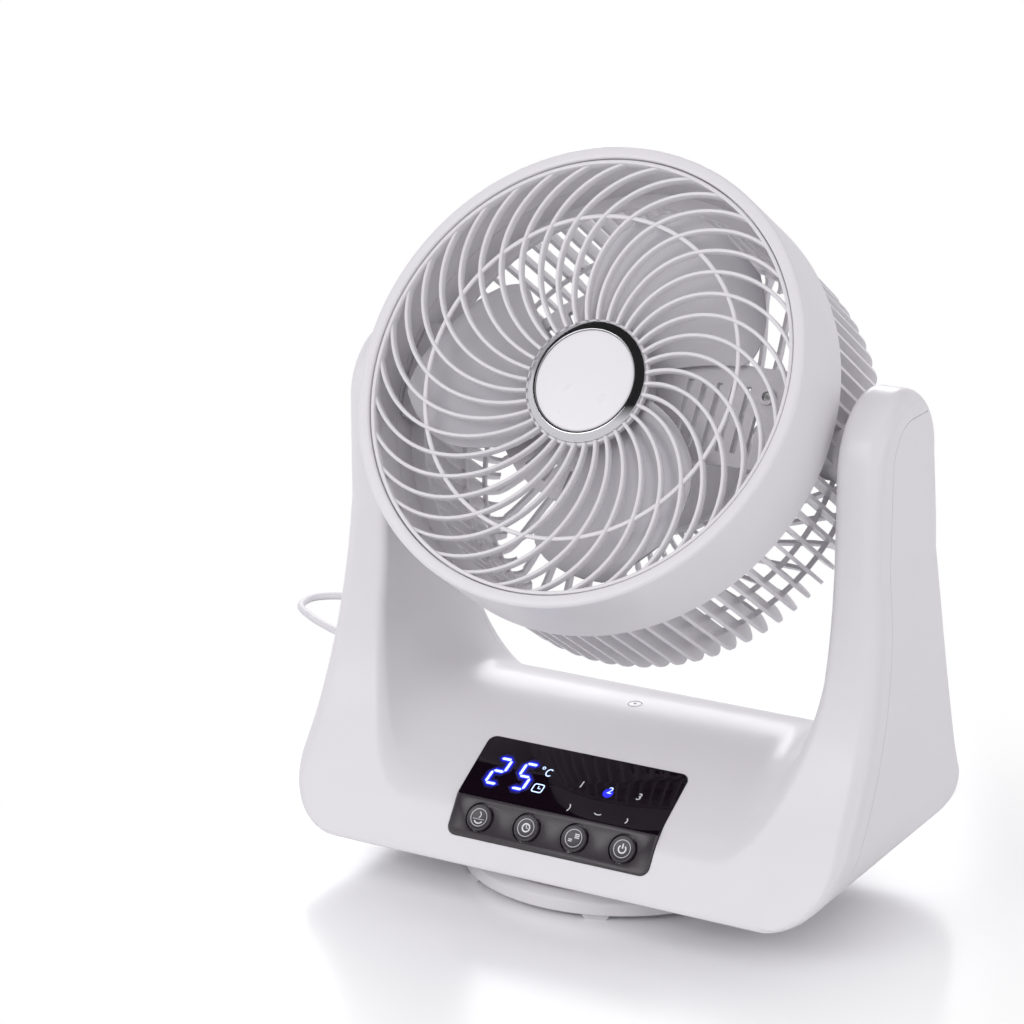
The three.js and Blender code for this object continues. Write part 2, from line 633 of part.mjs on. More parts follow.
function makeBottomCover() {
  const low = cavityFront + 3.6;
  const high = REAR_WALL_Y + 3;
  const side = CAVITY_HALF_WIDTH - GAP;
  const plate = extruded(roundedRect(side, low, high, 3), yokeBottom, coverTop, 3);
  const posts = boardPosts.map(([x, y]) => disc(3, coverTop - 1, boardZ - GAP, 8).translate(x, y, 0));
  const holes = coverScrews.flatMap(([x, y]) => [
    disc(SCREW_RADIUS + GAP, 0, 40, 6).translate(x, y, 0),
    disc(SCREW_HEAD + GAP, 0, screwSeat, 8).translate(x, y, 0),
  ]);
  const bore = disc(SPINDLE_RADIUS + RUN, 0, 40, BORE_ROUND);
  add('bottom_cover', cut(join(plate, ...posts), bore, ...holes), PLASTIC);
  const screwTop = coverTop + SCREW_DEPTH - 1;
  coverScrews.forEach(([x, y], i) => {
    const screw = turned([
      [0, yokeBottom + 0.2], [SCREW_HEAD, yokeBottom + 0.2], [SCREW_HEAD, screwSeat - 0.2],
      [SCREW_RADIUS, screwSeat - 0.2], [SCREW_RADIUS, screwTop], [0, screwTop],
    ], 8);
    add(`cover_screw_${i + 1}`, screw.translate(x, y, 0), STEEL);
  });
}

// ---------------------------------------------------------------- electronics in the base
function makeElectronics() {
  const board = box(-108, -44, -22, 42, boardZ, boardZ + BOARD_THICKNESS);
  const top = boardZ + BOARD_THICKNESS - 0.1;
  const parts = [
    box(-100, -78, -14, 4, top, top + 16), box(-70, -52, -12, 6, top, top + 11),
    disc(6, top, top + 18, 12).translate(-90, 24, 0), disc(5, top, top + 14, 12).translate(-72, 26, 0),
    box(-60, -50, 18, 34, top, top + 8),
  ];
  add('power_board', join(board, ...parts), BOARD);

  add('swing_motor', join(
    disc(SWING_MOTOR_RADIUS, coverTop + GAP, coverTop + SWING_MOTOR_HEIGHT, 24),
    box(-SWING_MOTOR_RADIUS - 5, SWING_MOTOR_RADIUS + 5, -4, 4, coverTop + GAP, coverTop + 2),
  ).translate(0, swingPinionY, 0), STEEL);
}

// ---------------------------------------------------------------- swing gears
const swingPinionY = gearDistance(SWING_GEAR_TEETH, SWING_PINION_TEETH, SWING_MODULE);

function makeSwingGears() {
  const z0 = SWING_GEAR_Z;
  const z1 = SWING_GEAR_Z + GEAR_WIDTH;
  const span = 15; // teeth on the fixed sector
  const step = 360 / SWING_GEAR_TEETH;
  const teeth = gearOutline(SWING_GEAR_TEETH, SWING_MODULE, (90 - step * (span - 1) / 2) * DEG, span);
  const sector = extruded(outline([...teeth, [-12, -6], [12, -6]]), z0, z1);
  const hub = disc(14, z0, z1, 16);
  add('swing_gear', cut(join(sector, hub), disc(SPINDLE_RADIUS + GAP, z0 - 1, z1 + 1, BORE_ROUND)), NYLON);
  const spacerBottom = clipBottom + CLIP_THICKNESS + GAP;
  add('gear_spacer', ring(SPINDLE_RADIUS + GAP, 12, spacerBottom, z0 - GAP, BORE_ROUND), NYLON);

  const pinionStep = 360 / SWING_PINION_TEETH;
  const pinionTeeth = gearOutline(SWING_PINION_TEETH, SWING_MODULE, (-90 + pinionStep / 2) * DEG);
  const pinion = extruded(outline(pinionTeeth), z0, z1);
  const shaft = disc(2.5, coverTop + SWING_MOTOR_HEIGHT + GAP, z1 + 1, 12);
  add('swing_pinion', join(pinion, shaft).translate(0, swingPinionY, 0), NYLON);
}

// ---------------------------------------------------------------- control panel
function makePanel() {
  const slab = (length) =>
    panelSlab(length, PANEL_HALF_WIDTH, -PANEL_THICKNESS, PANEL_PROUD, PANEL_CORNER, GAP / 2);
  add('display_lens', onDish(slab(LENS_LENGTH)), GLOSS_BLACK);
  const strip = slab(STRIP_LENGTH);
  const holes = [];
  for (let i = 0; i < BUTTON_COUNT; i++) {
    holes.push(disc(BUTTON_RADIUS + GAP, -6, 6, 16).translate(-buttonX(i), BUTTON_DROP, 0));
  }
  add('button_strip', onBand(cut(strip, ...holes)), SOFT_BLACK);

  ['swing_button', 'timer_button', 'speed_button', 'power_button'].forEach((name, i) => {
    add(name, onBand(makeButton().translate(-buttonX(i), BUTTON_DROP, 0)), SOFT_BLACK);
  });

  const boardTop = -1.5 * SHELL_WALL - GAP;
  const board = box(-57, 57, 1.5, 22, boardTop - BOARD_THICKNESS, boardTop);
  const switches = [];
  for (let i = 0; i < BUTTON_COUNT; i++) {
    const tact = box(-3, 3, -3, 3, boardTop - 0.1, buttonBottom - GAP - BUTTON_TRAVEL);
    switches.push(tact.translate(buttonX(i), BUTTON_DROP, 0));
  }
  add('button_board', onBand(join(board, ...switches)), BOARD);

  const lower = -SHELL_WALL - GAP - 0.5;
  const module = box(-44, 44, 11, 33, lower - 0.5, -PANEL_THICKNESS - GAP);
  const displayBoard = box(-50, 50, 9.5, 35, lower - BOARD_THICKNESS, lower);
  add('display_module', onDish(join(module, displayBoard)), BOARD);
}

function makeButton() {
  const flange = -PANEL_THICKNESS - GAP;
  return turned([
    [0, buttonBottom], [BUTTON_RADIUS + 1, buttonBottom], [BUTTON_RADIUS + 1, flange],
    [BUTTON_RADIUS, flange], [BUTTON_RADIUS, BUTTON_PROUD - 0.6], [BUTTON_RADIUS - 0.9, BUTTON_PROUD],
    [0, BUTTON_PROUD - 0.5],
  ], 16);
}

// ---------------------------------------------------------------- head
// Its pieces sit in a frame of their own: local Z runs forward along the fan axis, local Y up in the
// ring's plane, and the origin is the tilt pivot.
const head = new THREE.Group();
head.position.set(0, PIVOT_Y, PIVOT_Z);
head.rotation.x = (90 - HEAD_TILT) * DEG;
model.add(head);

const forward = (depth) => PIVOT_DEPTH - depth; // local Z of a depth behind the ring's front plane

function makeRing() {
  add('front_ring', turned([
    [RING_INNER, forward(LIP_DEPTH)], [RING_INNER + 1, forward(0)], [RING_RADIUS - 0.8, forward(0)],
    [RING_RADIUS, forward(0.8)], [DRUM_RADIUS, forward(DRUM_DEPTH)],
    [DRUM_RADIUS - DRUM_SKIN, forward(DRUM_DEPTH)], [DRUM_RADIUS - DRUM_SKIN, forward(DUCT_SEAM)],
    [RING_INNER, forward(DUCT_SEAM)],
  ], LARGE_ROUND), PLASTIC, head);
}

const at = (point, z) => new THREE.Vector3(point.x, point.y, z);

// Depth of a rib's front edge at a radius.
function ribDepth(radius) {
  const t = Math.max(0, (GRILLE_FLAT_RADIUS - radius) / (GRILLE_FLAT_RADIUS - BADGE_RADIUS));
  return RIB_DEPTH + GRILLE_DISH * t ** 1.6;
}

// A rib leaves the hub radially and bends along an arc to the rim. Rectangular section.
function grilleRib(start, end, steps) {
  const centre = new THREE.Vector2(start, -RIB_SWEEP_RADIUS);
  const endAngle = solveArc(start, end);
  const sections = [];
  for (let i = 0; i <= steps; i++) {
    const a = (endAngle * i) / steps;
    const point = new THREE.Vector2(
      centre.x + RIB_SWEEP_RADIUS * Math.sin(a), centre.y + RIB_SWEEP_RADIUS * Math.cos(a));
    const side = new THREE.Vector2(Math.sin(a), Math.cos(a)).multiplyScalar(RIB_WIDTH / 2);
    const top = forward(ribDepth(point.length()));
    const left = point.clone().add(side);
    const right = point.clone().sub(side);
    sections.push([
      at(right, top - RIB_HEIGHT), at(left, top - RIB_HEIGHT), at(left, top), at(right, top),
    ]);
  }
  return loft(sections);
}

// Angle along the rib's arc at which it reaches a radius.
function solveArc(start, radius) {
  let [low, high] = [0, Math.PI];
  for (let i = 0; i < 40; i++) {
    const middle = (low + high) / 2;
    const x = start + RIB_SWEEP_RADIUS * Math.sin(middle);
    const y = RIB_SWEEP_RADIUS * (Math.cos(middle) - 1);
    if (Math.hypot(x, y) < radius) low = middle;
    else high = middle;
  }
  return low;
}

function makeGrille() {
  const rimOuter = RING_INNER - 2 * GAP;
  const rimInner = rimOuter - 2;
  const rimBack = forward(RIB_DEPTH + RIB_HEIGHT + 0.5);
  const rim = ring(rimInner, rimOuter, rimBack, forward(RIB_DEPTH - 1.4), RIB_COUNT);
  rim.rotateZ((FIRST_RIB_ANGLE - RIM_LAG + 180 / RIB_COUNT) * DEG);
  const hoopFront = forward(RIB_DEPTH + 1.4);
  const half = HOOP_WIDTH / 2;
  const hoop = ring(HOOP_RADIUS - half, HOOP_RADIUS + half, hoopFront - HOOP_WIDTH, hoopFront, RIB_COUNT);
  hoop.rotateZ((FIRST_RIB_ANGLE - HOOP_LAG) * DEG);
  const hubFront = BADGE_DEPTH + GAP;
  const hub = turned([
    [0, forward(hubFront + HUB_THICKNESS)], [HUB_RADIUS, forward(hubFront + HUB_THICKNESS)],
    [HUB_RADIUS, forward(hubFront)], [0, forward(hubFront)],
  ], RIB_COUNT).rotateZ((FIRST_RIB_ANGLE + 180 / RIB_COUNT) * DEG);
  const ribs = [];
  for (let i = 0; i < RIB_COUNT; i++) {
    const angle = FIRST_RIB_ANGLE + (360 / RIB_COUNT) * i;
    ribs.push(grilleRib(HUB_RADIUS - 0.9, rimInner + 1, 5).rotateZ(angle * DEG));
  }
  add('front_grille', join(rim, hoop, hub, ...ribs), PLASTIC, head);

  const seat = forward(BADGE_DEPTH);
  add('badge_ring', turned([
    [BADGE_DISC_RADIUS + GAP, seat], [BADGE_RADIUS, seat], [BADGE_RADIUS - 0.6, seat + 1],
    [BADGE_DISC_RADIUS + 1, seat + BADGE_RISE], [BADGE_DISC_RADIUS + GAP, seat + BADGE_RISE],
  ]), CHROME, head);
  add('badge_disc', turned([
    [0, seat], [BADGE_DISC_RADIUS, seat], [BADGE_DISC_RADIUS, seat + BADGE_RISE - 0.5],
    [BADGE_DISC_RADIUS - 0.8, seat + BADGE_RISE], [0, seat + BADGE_RISE],
  ]), PLASTIC, head);
}

// ---------------------------------------------------------------- rear cage
// Outer and inner edge of a rib, as radius and depth, on its run back and round the shoulder.
const ribOuter = CAGE_RADIUS - 0.2;
const ribInner = CAGE_RADIUS - FIN_HEIGHT + 0.2;
const sideSections = [
  [[ribOuter, DRUM_DEPTH + 1.5], [ribInner, DRUM_DEPTH + 1.5]],
  [[ribOuter, CAGE_DEPTH - 21], [ribInner, CAGE_DEPTH - 18]],
  [[ribOuter - 3.8, CAGE_DEPTH - 8.5], [ribInner - 4, CAGE_DEPTH - 8.5]],
  [[SHOULDER_END, CAGE_DEPTH - 1.6], [SHOULDER_END - 3, CAGE_DEPTH - 5.6]],
];

// A rib of rectangular section: it runs back along the side and rounds the shoulder. A long one goes on
// across the rear face to the hub, lagging behind more and more.
function cageRib(long) {
  const half = FIN_THICKNESS / 2;
  const corner = ([radius, depth], side) => new THREE.Vector3(radius, side, forward(depth));
  const sections = sideSections.map(([outer, inner]) => [
    corner(outer, -half), corner(outer, half), corner(inner, half), corner(inner, -half),
  ]);
  if (!long) return loft(sections);
  const hubEdge = CAGE_HUB_RADIUS - 1.5;
  for (const t of [0.9, 0.6, 0.3, 0]) {
    const radius = hubEdge + (SHOULDER_END - hubEdge) * t;
    const angle = -SWIRL_SWEEP * DEG * (1 - t) ** 1.5;
    const slope = (radius * SWIRL_SWEEP * DEG * 1.5 * (1 - t) ** 0.5) / (SHOULDER_END - hubEdge);
    const centre = new THREE.Vector2(radius, 0).rotateAround(new THREE.Vector2(), angle);
    const across = new THREE.Vector2(-slope, 1).normalize().rotateAround(new THREE.Vector2(), angle);
    const [left, right] = [half, -half].map((side) => centre.clone().addScaledVector(across, side));
    const [low, high] = [forward(CAGE_DEPTH), forward(CAGE_DEPTH - 5)];
    sections.push([at(right, low), at(left, low), at(left, high), at(right, high)]);
  }
  return loft(sections);
}

// A cylinder along X between two distances from the middle, on the left and on the right.
const bothSides = (radius, near, far) => [barX(radius, -far, -near), barX(radius, near, far)];

function makeCage() {
  const frameOuter = DRUM_RADIUS - DRUM_SKIN - GAP;
  const frameInner = RING_INNER + 0.1;
  const inner = CAGE_RADIUS - FIN_HEIGHT;
  const frame = turned([
    [frameInner, forward(DUCT_SEAM + GAP)], [frameOuter, forward(DUCT_SEAM + GAP)],
    [frameOuter, forward(DRUM_DEPTH + GAP)], [CAGE_RADIUS, forward(DRUM_DEPTH + GAP)],
    [CAGE_RADIUS, forward(DRUM_DEPTH + CAGE_FRAME)], [inner, forward(DRUM_DEPTH + CAGE_FRAME)],
    [inner, forward(DRUM_DEPTH + 0.5)], [frameInner, forward(DRUM_DEPTH + 0.5)],
  ], FIN_COUNT).rotateZ((180 / FIN_COUNT) * DEG);
  const hoops = [100, 125].map((depth) => turned([
    [inner - 1.6, forward(depth - 1.5)], [inner - 1.6, forward(depth + 1.5)], [inner + 1.4, forward(depth)],
  ], FIN_COUNT / 2).rotateZ(90 * DEG));
  const hub = turned([
    [0, forward(CAGE_DEPTH - 2.5)], [0, forward(CAGE_DEPTH)], [CAGE_HUB_RADIUS, forward(CAGE_DEPTH)],
    [CAGE_HUB_RADIUS, forward(CAGE_DEPTH - 6)], [CAGE_HUB_RADIUS - 2.5, forward(CAGE_DEPTH - 6)],
    [CAGE_HUB_RADIUS - 2.5, forward(CAGE_DEPTH - 2.5)],
  ], 24);
  const ribs = [];
  for (let i = 0; i < FIN_COUNT; i++) {
    ribs.push(cageRib(i % 2 === 0).rotateZ((360 / FIN_COUNT) * i * DEG));
  }
  const bosses = bothSides(PIVOT_RADIUS + 7, inner - 2, BOSS_REACH);
  const bores = bothSides(PIVOT_RADIUS + GAP, inner + 1, 140);
  add('rear_cage', cut(join(frame, ...hoops, hub, ...ribs, ...bosses), ...bores), PLASTIC, head);
}

// ---------------------------------------------------------------- motor and its mount
const slot = (x, low, high) => box(x - 1.5, x + 1.5, low, high, -200, 200);

function makeMotorMount() {
  const front = forward(MOUNT_DEPTH);
  const rear = forward(MOUNT_DEPTH + MOUNT_THICKNESS);
  const wallOuter = RING_INNER - GAP;
  const half = MOUNT_ARM / 2;
  const plate = join(
    disc(MOUNT_DISC, rear, front, 28),
    common(box(-130, 130, -half, half, rear, front), disc(wallOuter, rear - 1, front + 1, LARGE_ROUND)));
  const endWalls = common(
    ring(wallOuter - 3, wallOuter, forward(DRUM_DEPTH + 0.5) + GAP, front, LARGE_ROUND),
    box(-130, 130, -half, half, -100, 100));
  const slots = [];
  for (let i = 0; i < SLOT_COUNT; i++) {
    const x = FIRST_SLOT_X + SLOT_PITCH * i;
    const top = i === SLOT_COUNT - 1 ? 2 : 16; // the outermost one stops short of the screw boss
    slots.push(slot(x, -20, top), slot(-x, -top, 20));
  }
  for (let i = 0; i < ROUND_SLOTS; i++) {
    const angle = ((i + 0.5) * 2 * Math.PI) / ROUND_SLOTS;
    const clearOfArms = Math.abs(Math.sin(angle)) > 0.42;
    if (clearOfArms) slots.push(slot(0, 43, 54).rotateZ(angle - Math.PI / 2));
  }
  const bossAt = (geometry, side) => geometry.translate(side * BOSS_RADIUS * Math.cos(BOSS_ANGLE * DEG),
    side * BOSS_RADIUS * Math.sin(BOSS_ANGLE * DEG), 0);
  const bosses = [-1, 1].map((side) => bossAt(disc(4.6, rear, front + 1.8), side));
  const screwHoles = [-1, 1].map((side) => bossAt(disc(2.6, rear - 1, front + 3, 12), side));
  const holes = [...slots, ...screwHoles, disc(SHAFT_RADIUS + 2, rear - 1, front + 1)];
  add('motor_mount', cut(join(plate, endWalls, ...bosses), ...holes), INNER_PLASTIC, head);
  [['right', 1], ['left', -1]].forEach(([name, side]) => {
    const screw = join(disc(2.3, rear - GAP - 1, front + 0.6, 12), disc(4.2, rear - GAP - 2, rear - GAP, 12));
    add(`mount_screw_${name}`, bossAt(screw, side), STEEL, head);
  });

  const motorFront = rear - GAP;
  const motorBack = motorFront - MOTOR_LENGTH;
  add('fan_motor', turned([
    [0, motorBack], [15, motorBack], [MOTOR_RADIUS - 4, motorBack + 7], [MOTOR_RADIUS, motorBack + 12],
    [MOTOR_RADIUS, motorFront], [SHAFT_RADIUS + RUN, motorFront],
    [SHAFT_RADIUS + RUN, motorFront - SHAFT_SEAT], [0, motorFront - SHAFT_SEAT],
  ], 24), STEEL, head);
  const shaft = disc(SHAFT_RADIUS, motorFront - SHAFT_SEAT + GAP, forward(FAN_HUB_FRONT) + GAP + NUT_HEIGHT);
  add('motor_shaft', shaft, STEEL, head);
}

// ---------------------------------------------------------------- impeller
// Where a blade's leading and trailing edges lie at a radius: angle and depth.
function bladeEdges(radius) {
  const t = (radius - FAN_HUB_RADIUS) / (BLADE_TIP - FAN_HUB_RADIUS);
  const round = Math.max(0, (t - 0.62) / 0.38) ** 2;
  return {
    lead: -46 - 16 * t + 34 * round,
    trail: 42 - 34 * t - 12 * round,
    front: 21 - 7 * Math.min(1, t * 1.3),
    rear: 33.2 + 0.6 * t,
  };
}

function makeBlade() {
  const radii = [FAN_HUB_RADIUS - 1, 44, 60, 76, 89, 98, BLADE_TIP];
  const chord = 5;
  const sections = radii.map((radius) => {
    const { lead, trail, front, rear } = bladeEdges(radius);
    const upper = [];
    const lower = [];
    for (let i = 0; i <= chord; i++) {
      const s = i / chord;
      const angle = (lead + (trail - lead) * s) * DEG;
      const depth = rear + (front - rear) * (1 - (1 - s) ** 1.35);
      const half = (BLADE_THICKNESS / 2) * (BLADE_EDGE_SHARE + (1 - BLADE_EDGE_SHARE) * Math.sin(Math.PI * s));
      const point = { x: radius * Math.cos(angle), y: radius * Math.sin(angle) };
      upper.push(at(point, forward(depth) + half));
      lower.push(at(point, forward(depth) - half));
    }
    return [...upper, ...lower.reverse()];
  });
  return loft(sections);
}

function makeImpeller() {
  const bore = SHAFT_RADIUS + GAP;
  const hub = turned([
    [bore, forward(FAN_HUB_REAR)], [11, forward(FAN_HUB_REAR)], [11, forward(FAN_HUB_FRONT + 3)],
    [FAN_HUB_RADIUS - 2.5, forward(FAN_HUB_FRONT + 3)], [FAN_HUB_RADIUS - 2.5, forward(FAN_HUB_REAR)],
    [FAN_HUB_RADIUS, forward(FAN_HUB_REAR)], [FAN_HUB_RADIUS, forward(FAN_HUB_FRONT)],
    [bore, forward(FAN_HUB_FRONT)],
  ], FAN_HUB_ROUND);
  const blades = [];
  for (let i = 0; i < BLADE_COUNT; i++) {
    blades.push(makeBlade().rotateZ((FIRST_BLADE_ANGLE + (360 / BLADE_COUNT) * i) * DEG));
  }
  add('impeller', join(...blades, hub), INNER_PLASTIC, head);
  const nutBack = forward(FAN_HUB_FRONT) + GAP;
  const nut = turned([
    [SHAFT_RADIUS + GAP, nutBack], [NUT_RADIUS, nutBack], [NUT_RADIUS, nutBack + 1.2], [6.4, nutBack + 1.2],
    [6.4, nutBack + NUT_HEIGHT], [SHAFT_RADIUS + GAP, nutBack + NUT_HEIGHT],
  ], 12);
  add('impeller_nut', nut, STEEL, head);
}

// ---------------------------------------------------------------- tilt bearings and drive
function makeTiltParts() {
  const inner = CAGE_RADIUS - FIN_HEIGHT + 1 + GAP;
  const washerRadius = 14;
  const shaftEnd = gearX + GEAR_WIDTH + 0.4;
  const armInside = ARM_INNER + ARM_WALL;
  add('tilt_shaft_right', barX(PIVOT_RADIUS, inner, shaftEnd, 0, 0, 32), STEEL, head);
  add('tilt_shaft_left', barX(PIVOT_RADIUS, -armInside - 5, -inner, 0, 0, 32), STEEL, head);
  const washer = [BOSS_REACH + GAP, ARM_INNER - GAP];
  add('tilt_washer_right', tubeX(PIVOT_RADIUS + GAP, washerRadius, washer[0], washer[1]), NYLON, head);
  add('tilt_washer_left', tubeX(PIVOT_RADIUS + GAP, washerRadius, -washer[1], -washer[0]), NYLON, head);
  const bushInner = PIVOT_RADIUS + RUN;
  const bush = (x0, x1) => tubeX(bushInner, bushInner + BUSH_WALL, x0, x1, PIVOT_Y, PIVOT_Z);
  add('tilt_bush_right', bush(ARM_INNER, armInside - GAP), NYLON);
  add('tilt_bush_left', bush(GAP - armInside, -ARM_INNER), NYLON);
  makeTiltGears();
}

// The gear turns with the head. At rest one of its teeth points at the pinion.
function makeTiltGears() {
  const step = 360 / TILT_GEAR_TEETH;
  const firstTooth = TILT_DRIVE_ANGLE - step * TILT_SECTOR_FIRST;
  const teeth = gearOutline(TILT_GEAR_TEETH, TILT_MODULE, firstTooth * DEG, TILT_SECTOR_TEETH);
  const sector = alongX(outline([...teeth, [0, 0]]), gearX, gearX + GEAR_WIDTH);
  const gear = cut(
    join(sector, barX(TILT_HUB_RADIUS, gearX, gearX + GEAR_WIDTH)),
    barX(PIVOT_RADIUS + GAP, gearX - 1, gearX + GEAR_WIDTH + 1));
  add('tilt_gear', gear.rotateX(-head.rotation.x), NYLON, head);

  const firstPinionTooth = TILT_DRIVE_ANGLE + 180 + 180 / TILT_PINION_TEETH;
  const pinionTeeth = gearOutline(TILT_PINION_TEETH, TILT_MODULE, firstPinionTooth * DEG);
  const pinion = alongX(outline(pinionTeeth), gearX, gearX + GEAR_WIDTH);
  const shaft = barX(2, gearX - 0.6, tiltMotorX - GAP, 0, 0, 12);
  add('tilt_pinion', join(pinion, shaft).translate(0, pinionY, pinionZ), NYLON);
  add('tilt_motor', barX(TILT_MOTOR_RADIUS, tiltMotorX, pocketEnd - GAP, pinionY, pinionZ, 32), STEEL);
}

// ---------------------------------------------------------------- supply cord
const reliefEnd = FOOT_RADIUS + RELIEF_LENGTH;
const CORD_SIDES = 8;
const cordZ = CORD_RADIUS * Math.cos(Math.PI / CORD_SIDES) + 0.05; // a flat of the tube lies on the table

// Where the cord lies, from the strain relief to the coil.
const cordRoute = [
  [0, reliefEnd + GAP, RELIEF_Z], [0, reliefEnd + 5.5, RELIEF_Z], [-4, reliefEnd + 14, 5.2],
  [-14, reliefEnd + 22, cordZ], [-34, 144, cordZ], [-66, 154, cordZ], [-112, 164, cordZ], [-170, 177, cordZ],
  [-230, 195, cordZ], [-290, 218, cordZ], [-341, 237, cordZ], [-372, 254, cordZ], [-389, 269, cordZ],
  [-391, 287, cordZ], [-377, 299, cordZ], [-352, 299, cordZ], [-318, 285, cordZ], [-275, 261, cordZ],
  [-225, 239, cordZ], [-165, 219, cordZ], [-105, 205, cordZ], [-50, 197, cordZ],
];

// A point of the coil after a number of turns: in along the lower layer, out again along the upper one.
function coilPoint(turns) {
  const half = COIL_TURNS / 2;
  const fromEnd = Math.min(turns, COIL_TURNS - turns);
  const ease = THREE.MathUtils.smoothstep(turns, half - 0.25, half + 0.25);
  const fold = 0.25;
  const folded = half - fold + (fold ** 2 - (half - fromEnd) ** 2) / (2 * fold);
  const inward = fromEnd > half - fold ? folded : fromEnd;
  const radius = COIL_RADIUS - COIL_PITCH * inward;
  const angle = Math.PI / 2 - turns * 2 * Math.PI;
  const z = COIL_LIFT + CORD_RADIUS + COIL_LAYER * ease;
  return new THREE.Vector3(COIL_X + radius * Math.cos(angle), COIL_Y + radius * Math.sin(angle), z);
}

// The coil's centre line, with a straight end: a short one where the cord comes in, a long one to the plug.
class CoilCurve extends THREE.Curve {
  getPoint(t, target = new THREE.Vector3()) {
    const around = 2 * Math.PI * COIL_RADIUS;
    const [leadIn, leadOut] = [(2 * CORD_RADIUS) / around, COIL_TAIL / around];
    const turns = t * (COIL_TURNS + leadIn + leadOut) - leadIn;
    const kept = THREE.MathUtils.clamp(turns, 0, COIL_TURNS);
    const step = 1e-3 * (kept === 0 ? 1 : -1);
    target.copy(coilPoint(kept));
    if (turns !== kept) {
      const along = coilPoint(kept + step).sub(target).setZ(0).setLength(1);
      target.addScaledVector(along, -Math.abs(turns - kept) * around);
    }
    return target;
  }
}

// A tube of regular polygon section along a curve.
function tubeAlong(curve, radius, sides, steps) {
  const corners = Array.from({ length: sides }, (_, k) => {
    const a = ((k + 0.5) / sides) * 2 * Math.PI;
    return [radius * Math.cos(a), radius * Math.sin(a)];
  });
  return new THREE.ExtrudeGeometry(outline(corners), { steps, extrudePath: curve, bevelEnabled: false });
}

function leastGap(points, radius, skip) {
  let least = Infinity;
  for (let i = 0; i < points.length; i++) {
    for (let j = i + skip; j < points.length; j++) least = Math.min(least, points[i].distanceTo(points[j]));
  }
  return least - 2 * radius;
}

function makeCord() {
  const inside = FOOT_RADIUS - FOOT_RIM - 1.3;
  const relief = turned([
    [0, inside], [RELIEF_NECK, inside], [RELIEF_NECK, FOOT_RADIUS + GAP], [RELIEF_FLANGE, FOOT_RADIUS + GAP],
    [RELIEF_FLANGE - 0.4, FOOT_RADIUS + 6], [CORD_RADIUS + 0.5, reliefEnd], [0, reliefEnd],
  ], 16).rotateX(-Math.PI / 2).translate(0, 0, RELIEF_Z);
  add('strain_relief', relief, CORD_PLASTIC);

  const coil = new CoilCurve();
  const coilSteps = Math.round(COIL_TURNS * 24) + 2;
  const coilLine = coil.getSpacedPoints(coilSteps);
  console.log('coil: least gap to itself', leastGap(coilLine, CORD_RADIUS, 16).toFixed(2), 'mm, length',
    coil.getLength().toFixed(0), 'mm');
  add('cord_coil', tubeAlong(coil, CORD_RADIUS, 6, coilSteps), CORD_PLASTIC);

  const start = coilLine[0];
  const back = start.clone().sub(coilLine[1]).setZ(0).normalize();
  const route = cordRoute.map(([x, y, z]) => new THREE.Vector3(x, y, z));
  route.push(start.clone().addScaledVector(back, GAP + 12), start.clone().addScaledVector(back, GAP));
  const curve = new THREE.CatmullRomCurve3(route, false, 'centripetal');
  console.log('cord: free length', curve.getLength().toFixed(0), 'mm');
  add('power_cord', tubeAlong(curve, CORD_RADIUS, CORD_SIDES, 62), CORD_PLASTIC);

  const end = coilLine[coilSteps];
  makePlug(end, end.clone().sub(coilLine[coilSteps - 1]).setZ(0).normalize());
}

// Two-pin plug lying beside the coil, its cord entry facing the coil's end.
function makePlug(end, direction) {
  const plug = new THREE.Group();
  plug.position.copy(end).addScaledVector(direction, GAP);
  plug.rotation.z = Math.atan2(direction.y, direction.x);
  model.add(plug);
  const height = end.z;
  const sections = [
    [0, 3.4, 3.4], [9, 4.4, 4.2], [15, 10, height - 0.6],
    [24, 16, height], [40, 16, height], [42, 15, height - 1.2],
  ];
  const body = loft(sections.map(([x, halfWidth, halfHeight]) =>
    Array.from({ length: 12 }, (_, k) => {
      const a = ((k + 0.5) / 12) * 2 * Math.PI;
      const shape = (v) => Math.sign(v) * Math.abs(v) ** 0.7;
      return new THREE.Vector3(x, halfWidth * shape(Math.cos(a)), halfHeight * shape(Math.sin(a)));
    })));
  add('plug_body', body, CORD_PLASTIC, plug);
  [-9.5, 9.5].forEach((y, i) => add(`plug_pin_${i + 1}`, barX(2, 42 + GAP, 61, y, 0, 12), STEEL, plug));
}

// ---------------------------------------------------------------- assembly
makeFoot();
makeYoke();
makeElectronics();
makeSwingGears();
makePanel();
makeRing();
makeGrille();
makeCage();
makeMotorMount();
makeImpeller();
makeTiltParts();
makeCord();

export default model;
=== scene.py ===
"""Looks of a desk air circulator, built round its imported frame.

Sizes are millimetres until a mesh is made, which turns them into metres. +Z is up and the front faces -Y.
"""
import itertools
import json
import math

import bmesh
import bpy
import numpy as np
from mathutils import Matrix, Vector


